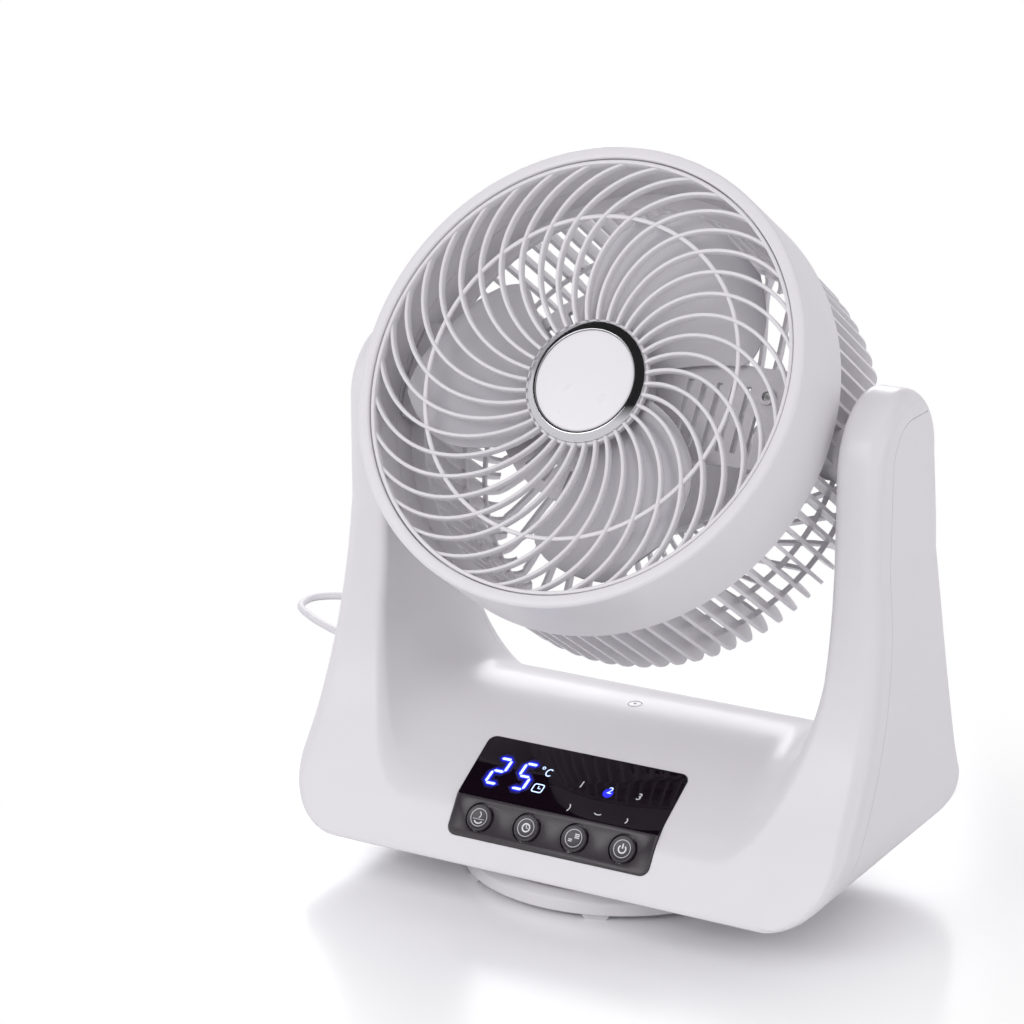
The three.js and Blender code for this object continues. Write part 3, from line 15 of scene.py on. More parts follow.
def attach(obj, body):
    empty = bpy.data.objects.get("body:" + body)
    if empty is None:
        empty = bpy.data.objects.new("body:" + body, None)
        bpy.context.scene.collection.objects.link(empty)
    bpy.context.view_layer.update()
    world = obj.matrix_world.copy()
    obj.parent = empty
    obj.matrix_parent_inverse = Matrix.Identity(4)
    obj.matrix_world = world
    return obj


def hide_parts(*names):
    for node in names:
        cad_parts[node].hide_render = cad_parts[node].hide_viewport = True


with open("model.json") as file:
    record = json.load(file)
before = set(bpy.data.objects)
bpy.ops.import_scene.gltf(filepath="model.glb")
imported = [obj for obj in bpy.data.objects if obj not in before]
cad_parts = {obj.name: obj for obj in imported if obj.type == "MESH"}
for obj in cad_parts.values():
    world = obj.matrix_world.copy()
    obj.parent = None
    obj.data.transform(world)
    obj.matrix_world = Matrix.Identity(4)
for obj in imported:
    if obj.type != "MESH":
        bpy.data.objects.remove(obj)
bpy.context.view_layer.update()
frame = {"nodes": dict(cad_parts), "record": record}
scene = bpy.context.scene
MM = 0.001

# ------------------------------------------------------------------ sizes shared with the solids
GAP = 0.3
PIVOT_Y, PIVOT_Z = 12, 244.7
YOKE_BOTTOM = 18.8
ARM_TOP_RADIUS = 37.5
BAND_ANGLE = math.radians(33.3)
FRONT_BLEND = 200
FRONT_FOOT_Y = -92.5
REAR_Y, REAR_Z = 84.7, 57
REAR_FLARE_Z = 205
REAR_CORNER = 16
ARM_INNER, ARM_OUTER = 133.5, 158.5
BASE_HALF_WIDTH = 164.5
BASE_WIDEST_Z = 75
FLARE_TOP_Z = 190
BASE_CORNER = 38
DISH_EDGE_Z = 51
DISH_ANGLE = math.radians(30.3)
DISH_FLAT = 46
DISH_CREST_RADIUS = 95
DISH_CORNER_WIDTH, DISH_CORNER_HEIGHT = 40, 59
SEAM_SETBACK = 17
SEAM_X = 146
REAR_WALL_Y = 62
SHELL_WALL = 5
CAVITY_HALF_WIDTH = 118
BOTTOM_ROUND, ARM_ROUND, DISH_ROUND = 2.4, 8.5, 4.5  # edge rounding: sharp at the bottom, soft up the arms
SOFT_EDGE_Z = 75
TILT_BORES = (  # radius, from x, to x
    (11.65, ARM_INNER - 2, 139.1), (18.6, 139, 146.5), (11.65, -139.1, -ARM_INNER + 2), (9, -145, -139))
MOTOR_BORE, MOTOR_Y, MOTOR_Z = (19.3, 139, 155.5), 23.95, 223.9

WINDOW_X, WINDOW_Y, WINDOW_RADIUS = 3, 10, 3.8
EYE_RADIUS = 0.85

PANEL_HALF_WIDTH = 60.5
PANEL_CORNER = 5
LENS_LENGTH, STRIP_LENGTH = 41.4, 22.5
PANEL_THICKNESS, PANEL_PROUD = 2.4, 0.6
BUTTON_RADIUS, BUTTON_PITCH, BUTTON_DROP = 7.7, 28.8, 11
BUTTON_PROUD = 1.8
CAP_RADIUS, HOLE_RADIUS = 7.3, 8.3  # the seen edges of a button and its hole
BUTTONS = ("swing", "timer", "speed", "power")
ICON_SINK, ICON_RISE = 0.12, 0.05  # how far the buttons' marks reach into them and stand proud

HEAD_ANGLE = math.radians(57.3)
PIVOT_DEPTH = 78
RING_RADIUS, RING_INNER = 125, 118.5
DRUM_RADIUS, DRUM_DEPTH, DRUM_SKIN = 126.1, 50, 3.5
DUCT_SEAM = 33

RIB_COUNT = 36
RIB_HEIGHT = 4.4
RIB_SECTION = [  # across the rib, above its front edge
    (-1, -RIB_HEIGHT), (-1.02, -1.1), (-0.8, -0.35), (-0.3, 0), (0.3, 0), (0.8, -0.35), (1.02, -1.1),
    (1, -RIB_HEIGHT)]
RIB_SWEEP_RADIUS = 57
FIRST_RIB_ANGLE = 5.6
RIB_DEPTH = 3
GRILLE_DISH, GRILLE_FLAT_RADIUS = 10.4, 92
HOOP_RADIUS, HOOP_FRONT, HOOP_BACK = 87.6, 4.3, 6.6
BADGE_RADIUS, BADGE_DISC_RADIUS, BADGE_DEPTH, BADGE_RISE = 33.1, 27.6, 14.9, 2.7
HUB_RADIUS, HUB_THICKNESS = 34.6, 3.6

CAGE_RADIUS, CAGE_DEPTH, FIN_HEIGHT = 122.9, 139.4, 12
CAGE_HUB_RADIUS, CAGE_HUB_DEPTH, CAGE_HUB_WALL = 44, 6, 2.5
CAGE_HOOPS = (100, 125)  # depths of the hoops inside the fins
SHOULDER_END, SHOULDER_DEPTH = 108, 21
FIN_HALF_WIDTH, SWIRL_FIN_DEPTH = 1.0, 5
SWIRL_SWEEP = math.radians(34)
BOSS_RADIUS, BOSS_REACH, SHAFT_RADIUS = 15, 131.5, 8
FIN_COUNT = 76

BLADE_COUNT, FIRST_BLADE_ANGLE = 3, 75
BLADE_TIP, BLADE_THICKNESS, BLADE_EDGE_SHARE = 103, 1.8, 0.25
FAN_HUB_RADIUS, FAN_HUB_FRONT, FAN_HUB_REAR = 31, 23, 34.5

CORD_RADIUS = 2.5
COIL_TURNS, COIL_RADIUS, COIL_PITCH, COIL_LAYER = 3, 36, 6.2, 5.9
COIL_TAIL = 24
COIL_X, COIL_Y = 26, 158
COIL_LIFT = 0.6
TIE_WALL, TIE_HALF_WIDTH, TIE_ANGLE = 0.5, 4, math.radians(200)
RELIEF_START, RELIEF_END, RELIEF_Z = 74, 114.3, 7.6
GROOVE_START, GROOVE_PITCH, GROOVE_DEPTH, GROOVE_COUNT = 92.2, 3.4, 0.9, 6

FOOT_RADIUS, FOOT_LOW, FOOT_TOP, SPINDLE_RADIUS = 86.3, 2.6, 13.6, 9.3

WHOLE_TURN = 2 * math.pi


# ------------------------------------------------------------------ camera
def make_camera():
    """Stands where the photograph was taken, with its lens."""
    data = bpy.data.cameras.new("camera")
    data.lens, data.sensor_width = 116.33, 36
    data.clip_start, data.clip_end = 0.05, 60
    camera = bpy.data.objects.new("camera", data)
    scene.collection.objects.link(camera)
    yaw, pitch, roll = (math.radians(a) for a in (30.21, 16.93, -0.12))
    camera.location = Vector((795.04, -1482.66, 709.93)) * MM
    back = Vector((math.sin(yaw) * math.cos(pitch), -math.cos(yaw) * math.cos(pitch), math.sin(pitch)))
    level = Vector((math.cos(yaw), math.sin(yaw), 0))
    upright = back.cross(level)
    right = level * math.cos(roll) + upright * math.sin(roll)
    up = upright * math.cos(roll) - level * math.sin(roll)
    camera.rotation_mode = "QUATERNION"
    camera.rotation_quaternion = Matrix((right, up, back)).transposed().to_quaternion()
    scene.camera = camera


# ------------------------------------------------------------------ outlines in a plane
def arc(centre, radius, start, end, steps):
    """Points of an arc between two angles in degrees."""
    angles = np.radians(np.linspace(start, end, steps + 1))
    return [(centre[0] + radius * math.cos(a), centre[1] + radius * math.sin(a)) for a in angles]


def circle(radius, points=64, centre=(0, 0)):
    """A closed circle's points, the first not repeated."""
    return arc(centre, radius, 0, 360 - 360 / points, points - 1)


def bezier(points, steps):
    """Points of a Bezier curve of any degree."""
    curve = []
    for t in np.linspace(0, 1, steps + 1):
        level = [np.array(p, float) for p in points]
        while len(level) > 1:
            level = [a * (1 - t) + b * t for a, b in zip(level, level[1:])]
        curve.append(tuple(level[0]))
    return curve


def rounded(points, radii, steps=4, closed=True):
    """An outline with its corners rounded, by one radius or by one for each corner."""
    count = len(points)
    radii = [radii] * count if np.isscalar(radii) else radii
    out = []
    for i, (point, radius) in enumerate(zip(points, radii)):
        if radius == 0 or (not closed and i in (0, count - 1)):
            out.append(tuple(point))
            continue
        p, before, after = (np.array(points[k % count], float) for k in (i, i - 1, i + 1))
        to_before, to_after = before - p, after - p
        lengths = np.linalg.norm(to_before), np.linalg.norm(to_after)
        to_before, to_after = to_before / lengths[0], to_after / lengths[1]
        half = math.acos(np.clip(to_before @ to_after, -1, 1)) / 2
        reach = min(radius / math.tan(half), 0.48 * min(lengths))
        out += bezier([p + to_before * reach, p, p + to_after * reach], steps)
    return out


def rectangle(left, right, low, high):
    return [(left, low), (right, low), (right, high), (left, high)]


# ------------------------------------------------------------------ solids as (vertices, faces)
def joined(*shapes):
    """Several shapes as one list of vertices and faces."""
    verts, faces = [], []
    for shape_verts, shape_faces in shapes:
        faces += [tuple(i + len(verts) for i in face) for face in shape_faces]
        verts += [tuple(v) for v in shape_verts]
    return verts, faces


def mapped(shape, change):
    verts, faces = shape
    return [tuple(v) for v in change(np.array(verts, float))], faces


def lofted(sections, closed=False):
    """A skin through sections of equal point count, capped at both ends unless it closes on itself."""
    count = len(sections[0])
    verts = [tuple(p) for section in sections for p in section]
    faces = []
    for s in range(len(sections) if closed else len(sections) - 1):
        low, high = s * count, (s + 1) % len(sections) * count
        for i in range(count):
            j = (i + 1) % count
            faces.append((low + i, low + j, high + j, high + i))
    if not closed:
        faces += [tuple(reversed(range(count))), tuple(len(verts) - count + i for i in range(count))]
    return verts, faces


def turned(profile, segments=128):
    """A (radius, height) loop turned about Z. Loops that start and end on the axis stay open there."""
    sections = []
    for k in range(segments):
        a = WHOLE_TURN * k / segments
        sections.append([(r * math.cos(a), r * math.sin(a), z) for r, z in profile])
    verts, faces = lofted(sections, closed=True)
    on_axis = profile[0][0] == 0 and profile[-1][0] == 0
    if on_axis:  # the last column joins the two ends along the axis and has no area
        last = len(profile) - 1
        faces = [f for f in faces if not {f[0] % len(profile), f[1] % len(profile)} == {0, last}]
    return verts, faces


def extruded(outline, low, high):
    """A plane outline given thickness along its third coordinate."""
    return lofted([[(a, b, h) for a, b in outline] for h in (low, high)])


def turn_z(points, angle):
    c, s = math.cos(angle), math.sin(angle)
    return points @ np.array([[c, s, 0], [-s, c, 0], [0, 0, 1]])


def repeated(shape, count, first=0.0):
    """Copies of a shape round Z, the first at an angle in degrees."""
    angles = [math.radians(first) + WHOLE_TURN * k / count for k in range(count)]
    return joined(*[mapped(shape, lambda p, a=a: turn_z(p, a)) for a in angles])


def bar_x(radius, x0, x1, segments=64):
    ends = [[(x, radius * math.cos(a), radius * math.sin(a))
             for a in np.linspace(0, WHOLE_TURN, segments, endpoint=False)] for x in (x0, x1)]
    return lofted(ends)


def along_x(outline, x0, x1):
    """An outline in (y, z) extruded along X."""
    return lofted([[(x, y, z) for y, z in outline] for x in (x0, x1)])


def ribbon(path, width, low, high, closed=False):
    """A flat strip of rectangular section that follows a plane path."""
    points = np.array(path, float)
    count = len(points)
    sections = []
    for i, p in enumerate(points):
        before = points[(i - 1) % count] if closed or i > 0 else p
        after = points[(i + 1) % count] if closed or i < count - 1 else p
        along = (after - before) / np.linalg.norm(after - before)
        side = np.array([-along[1], along[0]]) * width / 2
        a, b = p + side, p - side
        sections.append([(*a, low), (*b, low), (*b, high), (*a, high)])
    return lofted(sections, closed)


# ------------------------------------------------------------------ pieces
def to_mesh(name, shape):
    """A mesh in metres from a shape in millimetres, welded and facing outwards."""
    verts, faces = shape
    mesh = bpy.data.meshes.new(name)
    mesh.from_pydata((np.array(verts, float) * MM).tolist(), [], faces)
    work = bmesh.new()
    work.from_mesh(mesh)
    bmesh.ops.remove_doubles(work, verts=work.verts, dist=1e-7)
    bmesh.ops.recalc_face_normals(work, faces=work.faces)
    work.to_mesh(mesh)
    work.free()
    return mesh


def tool(shape):
    """A plain object to cut or join with. It is removed after use."""
    obj = bpy.data.objects.new("tool", to_mesh("tool", shape))
    scene.collection.objects.link(obj)
    return obj


def combined(target, operation, *others):
    """Cuts, joins or intersects an object with shapes or tools, which are used up one after another."""
    for other in others:
        other = tool(other) if isinstance(other, tuple) else other
        modifier = target.modifiers.new("combine", "BOOLEAN")
        modifier.object, modifier.operation, modifier.solver = other, operation, "MANIFOLD"
        settle(target)
        bpy.data.objects.remove(other)


def settle(obj):
    """Applies all modifiers of an object to its mesh."""
    evaluated = obj.evaluated_get(bpy.context.evaluated_depsgraph_get())
    mesh = bpy.data.meshes.new_from_object(evaluated)
    obj.modifiers.clear()
    obj.data = mesh


def bevel(obj, width, segments=2, angle=35):
    """Rounds an object's sharp edges by a width in millimetres."""
    modifier = obj.modifiers.new("round", "BEVEL")
    modifier.width, modifier.segments = width * MM, segments
    modifier.limit_method, modifier.angle_limit = "ANGLE", math.radians(angle)
    modifier.use_clamp_overlap = True
    settle(obj)


def finish(obj, name, body, look, stands_for=(), slot=None, sharp=38):
    """Names an object, shades it and sets it on its body. The slot argument is not used."""
    obj.name = obj.data.name = name
    obj.data.materials.clear()
    obj.data.materials.append(looks[look])
    obj.data.polygons.foreach_set("use_smooth", [True] * len(obj.data.polygons))
    obj.data.set_sharp_from_angle(angle=math.radians(sharp))
    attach(obj, body)
    if stands_for:
        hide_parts(*stands_for)
    return obj


def piece(name, shape, *rest, **more):
    return finish(tool(shape), name, *rest, **more)


def placing(place):
    """A placing function, such as on_dish, as a matrix in metres."""
    origin, *ends = place(np.array([[0, 0, 0], [1, 0, 0], [0, 1, 0], [0, 0, 1]], float))
    columns = [*[end - origin for end in ends], origin * MM]
    return Matrix([[column[row] for column in columns] for row in range(3)] + [[0, 0, 0, 1]])


# ------------------------------------------------------------------ materials
class Nodes:
    """The node tree of a new material or world, with a short way to add and link nodes."""

    def __init__(self, owner):
        owner.use_nodes = True
        self.owner, self.tree = owner, owner.node_tree
        self.shader = self.tree.nodes.get("Principled BSDF")
        self.coordinates = self.add("ShaderNodeTexCoord").outputs

    def add(self, kind, inputs=(), **settings):
        node = self.tree.nodes.new(kind)
        for key, value in settings.items():
            setattr(node, key, value)
        for key, value in dict(inputs).items():
            self.put(value, node.inputs[key])
        return node

    def put(self, value, socket):
        if isinstance(value, bpy.types.NodeSocket):
            self.tree.links.new(value, socket)
        else:
            socket.default_value = value

    def noise(self, scale, detail=2.0, stretch=(1, 1, 1)):
        place = self.add("ShaderNodeMapping", {"Vector": self.coordinates["Object"], "Scale": stretch})
        settings = {"Vector": place.outputs[0], "Scale": scale, "Detail": detail}
        return self.add("ShaderNodeTexNoise", settings).outputs[0]

    def ramp(self, value, low, high, start=0.3, end=0.7, course="LINEAR"):
        """A value between start and end spread over a range of numbers. Noise is mostly within 0.3 to 0.7."""
        settings = {"Value": value, "From Min": start, "From Max": end, "To Min": low, "To Max": high}
        return self.add("ShaderNodeMapRange", settings, interpolation_type=course).outputs[0]

    def blend(self, value, low, high):
        """A noise value spread over a range of colours."""
        mix = self.add("ShaderNodeMix", {"Factor": value}, data_type="RGBA")
        mix.inputs[6].default_value = (*low, 1)
        mix.inputs[7].default_value = (*high, 1)
        return mix.outputs[2]

    def chosen(self, share, first, second):
        """One shader where share is 0, the other where it is 1."""
        return self.add("ShaderNodeMixShader", {0: share, 1: first, 2: second}).outputs[0]

    def relief(self, height, strength, distance):
        settings = {"Height": height, "Strength": strength, "Distance": distance}
        self.put(self.add("ShaderNodeBump", settings).outputs[0], self.shader.inputs["Normal"])

    def shade(self, **values):
        """Sets the shader's sockets, whose names have spaces where these have underscores."""
        for key, value in values.items():
            self.put(value, self.shader.inputs[key.replace("_", " ")])
        return self.owner


def new_material(name):
    return Nodes(bpy.data.materials.new(name))


def shifted(colour, amount):
    return tuple(min(1, c * (1 + amount)) for c in colour)


def moulded(name, colour, roughness, grain=0.05, metal=0.0, coat=0.0, variation=0.015, shine=0.5):
    """Moulded plastic or cast metal: a faint mottling, a fine grain and an uneven sheen."""
    nodes = new_material(name)
    mottling = nodes.noise(16, 3)
    speck = nodes.noise(1500, 2)
    nodes.relief(speck, grain, 0.00008)
    return nodes.shade(
        Base_Color=nodes.blend(mottling, shifted(colour, -variation), shifted(colour, variation)),
        Roughness=nodes.ramp(nodes.noise(60, 4), roughness - 0.03, roughness + 0.03),
        Metallic=metal, Specular_IOR_Level=shine, Coat_Weight=coat, Coat_Roughness=0.12)


def turned_metal(name, colour, roughness):
    """Metal with the fine lines of turning or drawing along X."""
    nodes = new_material(name)
    lines = nodes.noise(700, 3, (0.02, 1, 1))
    nodes.relief(lines, 0.15, 0.0001)
    return nodes.shade(
        Base_Color=nodes.blend(nodes.noise(40), shifted(colour, -0.04), shifted(colour, 0.04)),
        Roughness=nodes.ramp(lines, roughness - 0.06, roughness + 0.08), Metallic=1.0)


def lit(name, colour, strength, base):
    """A surface that glows, a little unevenly as a lamp behind a mask does."""
    nodes = new_material(name)
    patch = nodes.noise(300, 1)
    return nodes.shade(
        Base_Color=nodes.blend(patch, shifted(base, -0.05), base),
        Emission_Color=nodes.blend(patch, shifted(colour, -0.08), colour),
        Emission_Strength=strength, Roughness=0.3)


def rubber(name, colour):
    nodes = new_material(name)
    nodes.relief(nodes.noise(900, 3), 0.3, 0.0002)
    return nodes.shade(
        Base_Color=nodes.blend(nodes.noise(60, 3), shifted(colour, -0.1), shifted(colour, 0.12)),
        Roughness=nodes.ramp(nodes.noise(200), 0.7, 0.9))


def make_looks():
    return {
        "housing": moulded("housing", (0.79, 0.775, 0.8), 0.36, coat=0.15),
        "inner_plastic": moulded("inner_plastic", (0.64, 0.625, 0.65), 0.45),
        "impeller": moulded("impeller", (0.56, 0.545, 0.575), 0.38),
        "badge": moulded("badge", (0.86, 0.85, 0.87), 0.3, grain=0.02),
        "chrome": moulded("chrome", (0.78, 0.78, 0.8), 0.07, grain=0.0, metal=1.0),
        "display_gloss": moulded("display_gloss", (0.007, 0.003, 0.007), 0.05, grain=0.0, shine=0.3),
        "button_panel": moulded("button_panel", (0.045, 0.038, 0.046), 0.3, grain=0.25),
        "pad_rubber": rubber("pad_rubber", (0.03, 0.03, 0.032)),
        "nylon": moulded("nylon", (0.82, 0.81, 0.76), 0.5, grain=0.15),
        "steel": turned_metal("steel", (0.55, 0.55, 0.56), 0.3),
        "motor": turned_metal("motor", (0.5, 0.5, 0.51), 0.42),
        "board": moulded("board", (0.05, 0.16, 0.09), 0.4, grain=0.3, variation=0.12),
        "cord": moulded("cord", (0.8, 0.79, 0.82), 0.45, grain=0.02),
        "icon": moulded("icon", (0.78, 0.78, 0.8), 0.5, grain=0.02),
        "pad": rubber("pad", (0.66, 0.65, 0.68)),
        "digit": lit("digit", (0.5, 0.66, 1.0), 1.3, (0.5, 0.6, 0.8)),
        # painted glow: these three light the patches round the digits, brightest nearest them
        "glow": lit("glow", (0.015, 0.02, 1.0), 1.15, (0.01, 0.01, 0.2)),
        "halo": lit("halo", (0.006, 0.008, 0.7), 0.5, (0.005, 0.005, 0.03)),
        "faint": lit("faint", (0.006, 0.004, 0.4), 0.16, (0.008, 0.005, 0.02)),
    }


# ------------------------------------------------------------------ supply cord
def cord_route():
    """The cord's course from the strain relief to the coil, then round the coil to the plug."""
    rest = CORD_RADIUS + 0.04
    anchors = [
        (0, 114.6, 7.6), (0, 119.8, 7.6), (-4, 128.3, 5.2), (-14, 136.3, rest), (-34, 144, rest),
        (-66, 154, rest), (-112, 164, rest), (-170, 177, rest), (-230, 195, rest), (-290, 218, rest),
        (-341, 237, rest), (-372, 254, rest), (-389, 269, rest), (-391, 287, rest), (-377, 299, rest),
        (-352, 299, rest), (-318, 285, rest), (-275, 261, rest), (-225, 239, rest), (-165, 219, rest),
        (-105, 205, rest), (-50, 197, rest),
    ]
    around = WHOLE_TURN * COIL_RADIUS
    lead_in, lead_out = 2 * CORD_RADIUS / around, COIL_TAIL / around
    coil = [coil_place(t) for t in np.linspace(-lead_in, COIL_TURNS + lead_out, 40 * COIL_TURNS)]
    back = coil[0] - coil[1]
    back[2] = 0
    back /= np.linalg.norm(back)
    anchors += [tuple(coil[0] + back * reach) for reach in (12 + GAP, GAP)]
    return smooth_course(anchors, 8), coil


def coil_place(turns):
    """A point of the coil, which goes in along the lower layer and out along the upper one."""
    kept = min(max(turns, 0), COIL_TURNS)
    if kept != turns:  # the straight ends
        step = 1e-3 if kept == 0 else -1e-3
        start, ahead = coil_place(kept), coil_place(kept + step)
        along = np.array([ahead[0] - start[0], ahead[1] - start[1], 0])
        return start - along / np.linalg.norm(along) * abs(turns - kept) * WHOLE_TURN * COIL_RADIUS
    half, fold = COIL_TURNS / 2, 0.25
    from_end = min(turns, COIL_TURNS - turns)
    inward = from_end
    if from_end > half - fold:
        inward = half - fold + (fold**2 - (half - from_end) ** 2) / (2 * fold)
    radius = COIL_RADIUS - COIL_PITCH * inward
    angle = math.pi / 2 - turns * WHOLE_TURN
    share = min(max((turns - half + fold) / (2 * fold), 0), 1)
    z = COIL_LIFT + CORD_RADIUS + COIL_LAYER * share * share * (3 - 2 * share)
    return np.array([COIL_X + radius * math.cos(angle), COIL_Y + radius * math.sin(angle), z])


def smooth_course(points, steps):
    """A centripetal curve through points."""
    p = [np.array(q, float) for q in points]
    p = [2 * p[0] - p[1], *p, 2 * p[-1] - p[-2]]
    out = []
    for a, b, c, d in zip(p, p[1:], p[2:], p[3:]):
        t = np.cumsum([0, *[max(np.linalg.norm(v - u), 1e-6) ** 0.5 for u, v in ((a, b), (b, c), (c, d))]])
        for s in np.linspace(t[1], t[2], steps, endpoint=False):
            first = [(u * (t[k + 1] - s) + v * (s - t[k])) / (t[k + 1] - t[k])
                     for k, (u, v) in enumerate(((a, b), (b, c), (c, d)))]
            second = [(first[k] * (t[k + 2] - s) + first[k + 1] * (s - t[k])) / (t[k + 2] - t[k])
                      for k in (0, 1)]
            out.append((second[0] * (t[2] - s) + second[1] * (s - t[1])) / (t[2] - t[1]))
    return [*out, p[-2]]


def make_cord():
    free, coil = cord_route()
    course = np.array([*free, *coil])
    curve = bpy.data.curves.new("supply_cord", "CURVE")
    curve.dimensions = "3D"
    curve.bevel_depth, curve.bevel_resolution = CORD_RADIUS * MM, 4
    curve.use_fill_caps = True
    spline = curve.splines.new("POLY")
    spline.points.add(len(course) - 1)
    for point, place in zip(spline.points, course):
        point.co = (*(place * MM), 1)
    spline.use_smooth = True
    cord = bpy.data.objects.new("supply_cord", curve)
    scene.collection.objects.link(cord)
    curve.materials.append(looks["cord"])
    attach(cord, "stand")
    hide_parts("power_cord", "cord_coil")
    plug = make_plug(coil)
    tie = make_tie(np.array(coil))
    make_relief()


def make_plug(coil):
    """A flat two-pin plug body that swells from the cord to the pins."""
    end = coil[-1]
    along = end - coil[-2]
    turn = math.atan2(along[1], along[0])
    height = end[2]
    stations = [  # distance from the cord's end, half width, half height
        (0, 3.4, 3.4), (4, 3.6, 3.5), (9, 4.4, 4.2), (12, 7, 6), (15, 10, height - 0.9),
        (19, 13.8, height - 0.4), (24, 16, height - 0.1), (40, 16, height - 0.1),
        (41.6, 15.6, height - 0.6), (42, 14.6, height - 1.6)]
    squareness = 0.7
    around = np.linspace(0, WHOLE_TURN, 48, endpoint=False)
    sections = [[(x, half_width * math.copysign(abs(math.cos(a)) ** squareness, math.cos(a)),
                  half_height * math.copysign(abs(math.sin(a)) ** squareness, math.sin(a))) for a in around]
                for x, half_width, half_height in stations]
    start = end + np.array([math.cos(turn), math.sin(turn), 0]) * GAP
    shape = mapped(lofted(sections), lambda p: turn_z(p, turn) + start)
    return piece("plug_body_moulded", shape, "stand", "cord", ["plug_body"], sharp=50)


def make_tie(coil):
    """A strap closed round the coil's turns, away from where the cord comes in."""
    along = np.array([math.cos(TIE_ANGLE), math.sin(TIE_ANGLE)])
    across = np.array([-along[1], along[0]])
    offset = coil[:, :2] - (COIL_X, COIL_Y)
    near = (offset @ along > 0) & (abs(offset @ across) < TIE_HALF_WIDTH + 1)
    reach, margin = (offset @ along)[near], CORD_RADIUS + TIE_WALL
    top = coil[near, 2].max() + margin
    outer = rounded(rectangle(reach.min() - margin, reach.max() + margin, 0.06, top), CORD_RADIUS, 8)
    corners = rectangle(-TIE_HALF_WIDTH, TIE_HALF_WIDTH, 0, TIE_WALL)
    sections = [[(a - inset * n[0], side, b - inset * n[1]) for side, inset in corners]
                for (a, b), n in zip(outer, outward(outer))]
    shape = mapped(lofted(sections, closed=True), lambda p: turn_z(p, TIE_ANGLE) + (COIL_X, COIL_Y, 0))
    return piece("cord_tie", shape, "stand", "pad_rubber")


def outward(loop):
    """Unit normals of a counterclockwise loop."""
    points = np.array(loop, float)
    along = np.roll(points, -1, axis=0) - np.roll(points, 1, axis=0)
    along /= np.linalg.norm(along, axis=1)[:, None]
    return np.stack([along[:, 1], -along[:, 0]], 1)


def make_relief():
    """The tapered strain relief with its flexing grooves."""
    profile = [(0, RELIEF_START), (3.7, RELIEF_START), (3.7, 86.6), (5.1, 86.6), (5.1, 91)]
    for i in range(GROOVE_COUNT):
        start, radius = GROOVE_START + GROOVE_PITCH * i, 4.7 - 0.28 * i
        bottom = radius - GROOVE_DEPTH
        profile += [(radius, start), (radius, start + 2.2), (bottom, start + 2.4),
                    (bottom, start + GROOVE_PITCH - 0.2)]
    profile += [(CORD_RADIUS + 0.5, RELIEF_END), (0, RELIEF_END)]
    shape = mapped(turned(profile, 48), lambda p: p[:, [0, 2, 1]] * (1, 1, -1) + (0, 0, RELIEF_Z))
    piece("strain_relief_ribbed", shape, "stand", "cord", ["strain_relief"])


# ------------------------------------------------------------------ yoke: a rounded solid from distances
def side_outline(inset=0.0):
    """The front edge of the yoke in the side view, from its foot up to the pivot's height."""
    blend = FRONT_BLEND + inset
    run = blend * math.tan(BAND_ANGLE / 2)
    front = PIVOT_Y - ARM_TOP_RADIUS + inset
    foot = FRONT_FOOT_Y + inset / math.cos(BAND_ANGLE)
    bend_z = YOKE_BOTTOM + (front - foot) / math.tan(BAND_ANGLE)
    centre = (front - blend, bend_z + run)
    return [(foot, YOKE_BOTTOM), *arc(centre, blend, -math.degrees(BAND_ANGLE), 0, 40), (front, PIVOT_Z)]


def run_on(point, direction, length):
    return (point[0] + direction[0] * length, point[1] + direction[1] * length)


def yoke_side():
    """The whole side view. It runs on below the bottom, which the front view cuts off."""
    rear = PIVOT_Y + ARM_TOP_RADIUS
    heel = (REAR_Y - REAR_CORNER, YOKE_BOTTOM)
    return [
        run_on((FRONT_FOOT_Y, YOKE_BOTTOM), (-math.tan(BAND_ANGLE), -1), 40),
        *side_outline(),
        *arc((PIVOT_Y, PIVOT_Z), ARM_TOP_RADIUS, 180, 0, 60)[1:],
        *bezier([(rear + 6, REAR_FLARE_Z), (rear + 10.5, REAR_Z + 63), (REAR_Y, REAR_Z)], 30),
        *bezier([(REAR_Y, REAR_Z), (REAR_Y + 1, YOKE_BOTTOM + REAR_CORNER * 0.6), heel], 16)[1:],
        run_on(heel, (-REAR_CORNER - 1, -REAR_CORNER * 0.6), 4),
    ]


def yoke_front():
    top = PIVOT_Z + ARM_TOP_RADIUS + 40
    half = [
        *arc((BASE_HALF_WIDTH - BASE_CORNER, YOKE_BOTTOM + BASE_CORNER), BASE_CORNER, -90, 0, 24),
        *bezier([(BASE_HALF_WIDTH, YOKE_BOTTOM + BASE_CORNER), (BASE_HALF_WIDTH, BASE_WIDEST_Z + 55),
                 (ARM_OUTER, FLARE_TOP_Z)], 30)[1:],
        (ARM_OUTER, top),
    ]
    return half + [(-x, z) for x, z in reversed(half)]


def dish_section():
    """The space between the arms, as x against height above the dish's middle."""
    corner = bezier([
        (ARM_INNER - 1.5, DISH_CORNER_HEIGHT), (ARM_INNER - 3, DISH_CORNER_HEIGHT * 0.58),
        (ARM_INNER - 17, 0), (ARM_INNER - DISH_CORNER_WIDTH - 1.5, 0)], 24)
    half = [(ARM_INNER, 420), (ARM_INNER, 165 - DISH_EDGE_Z), *corner]
    return half + [(-x, z) for x, z in reversed(half)]


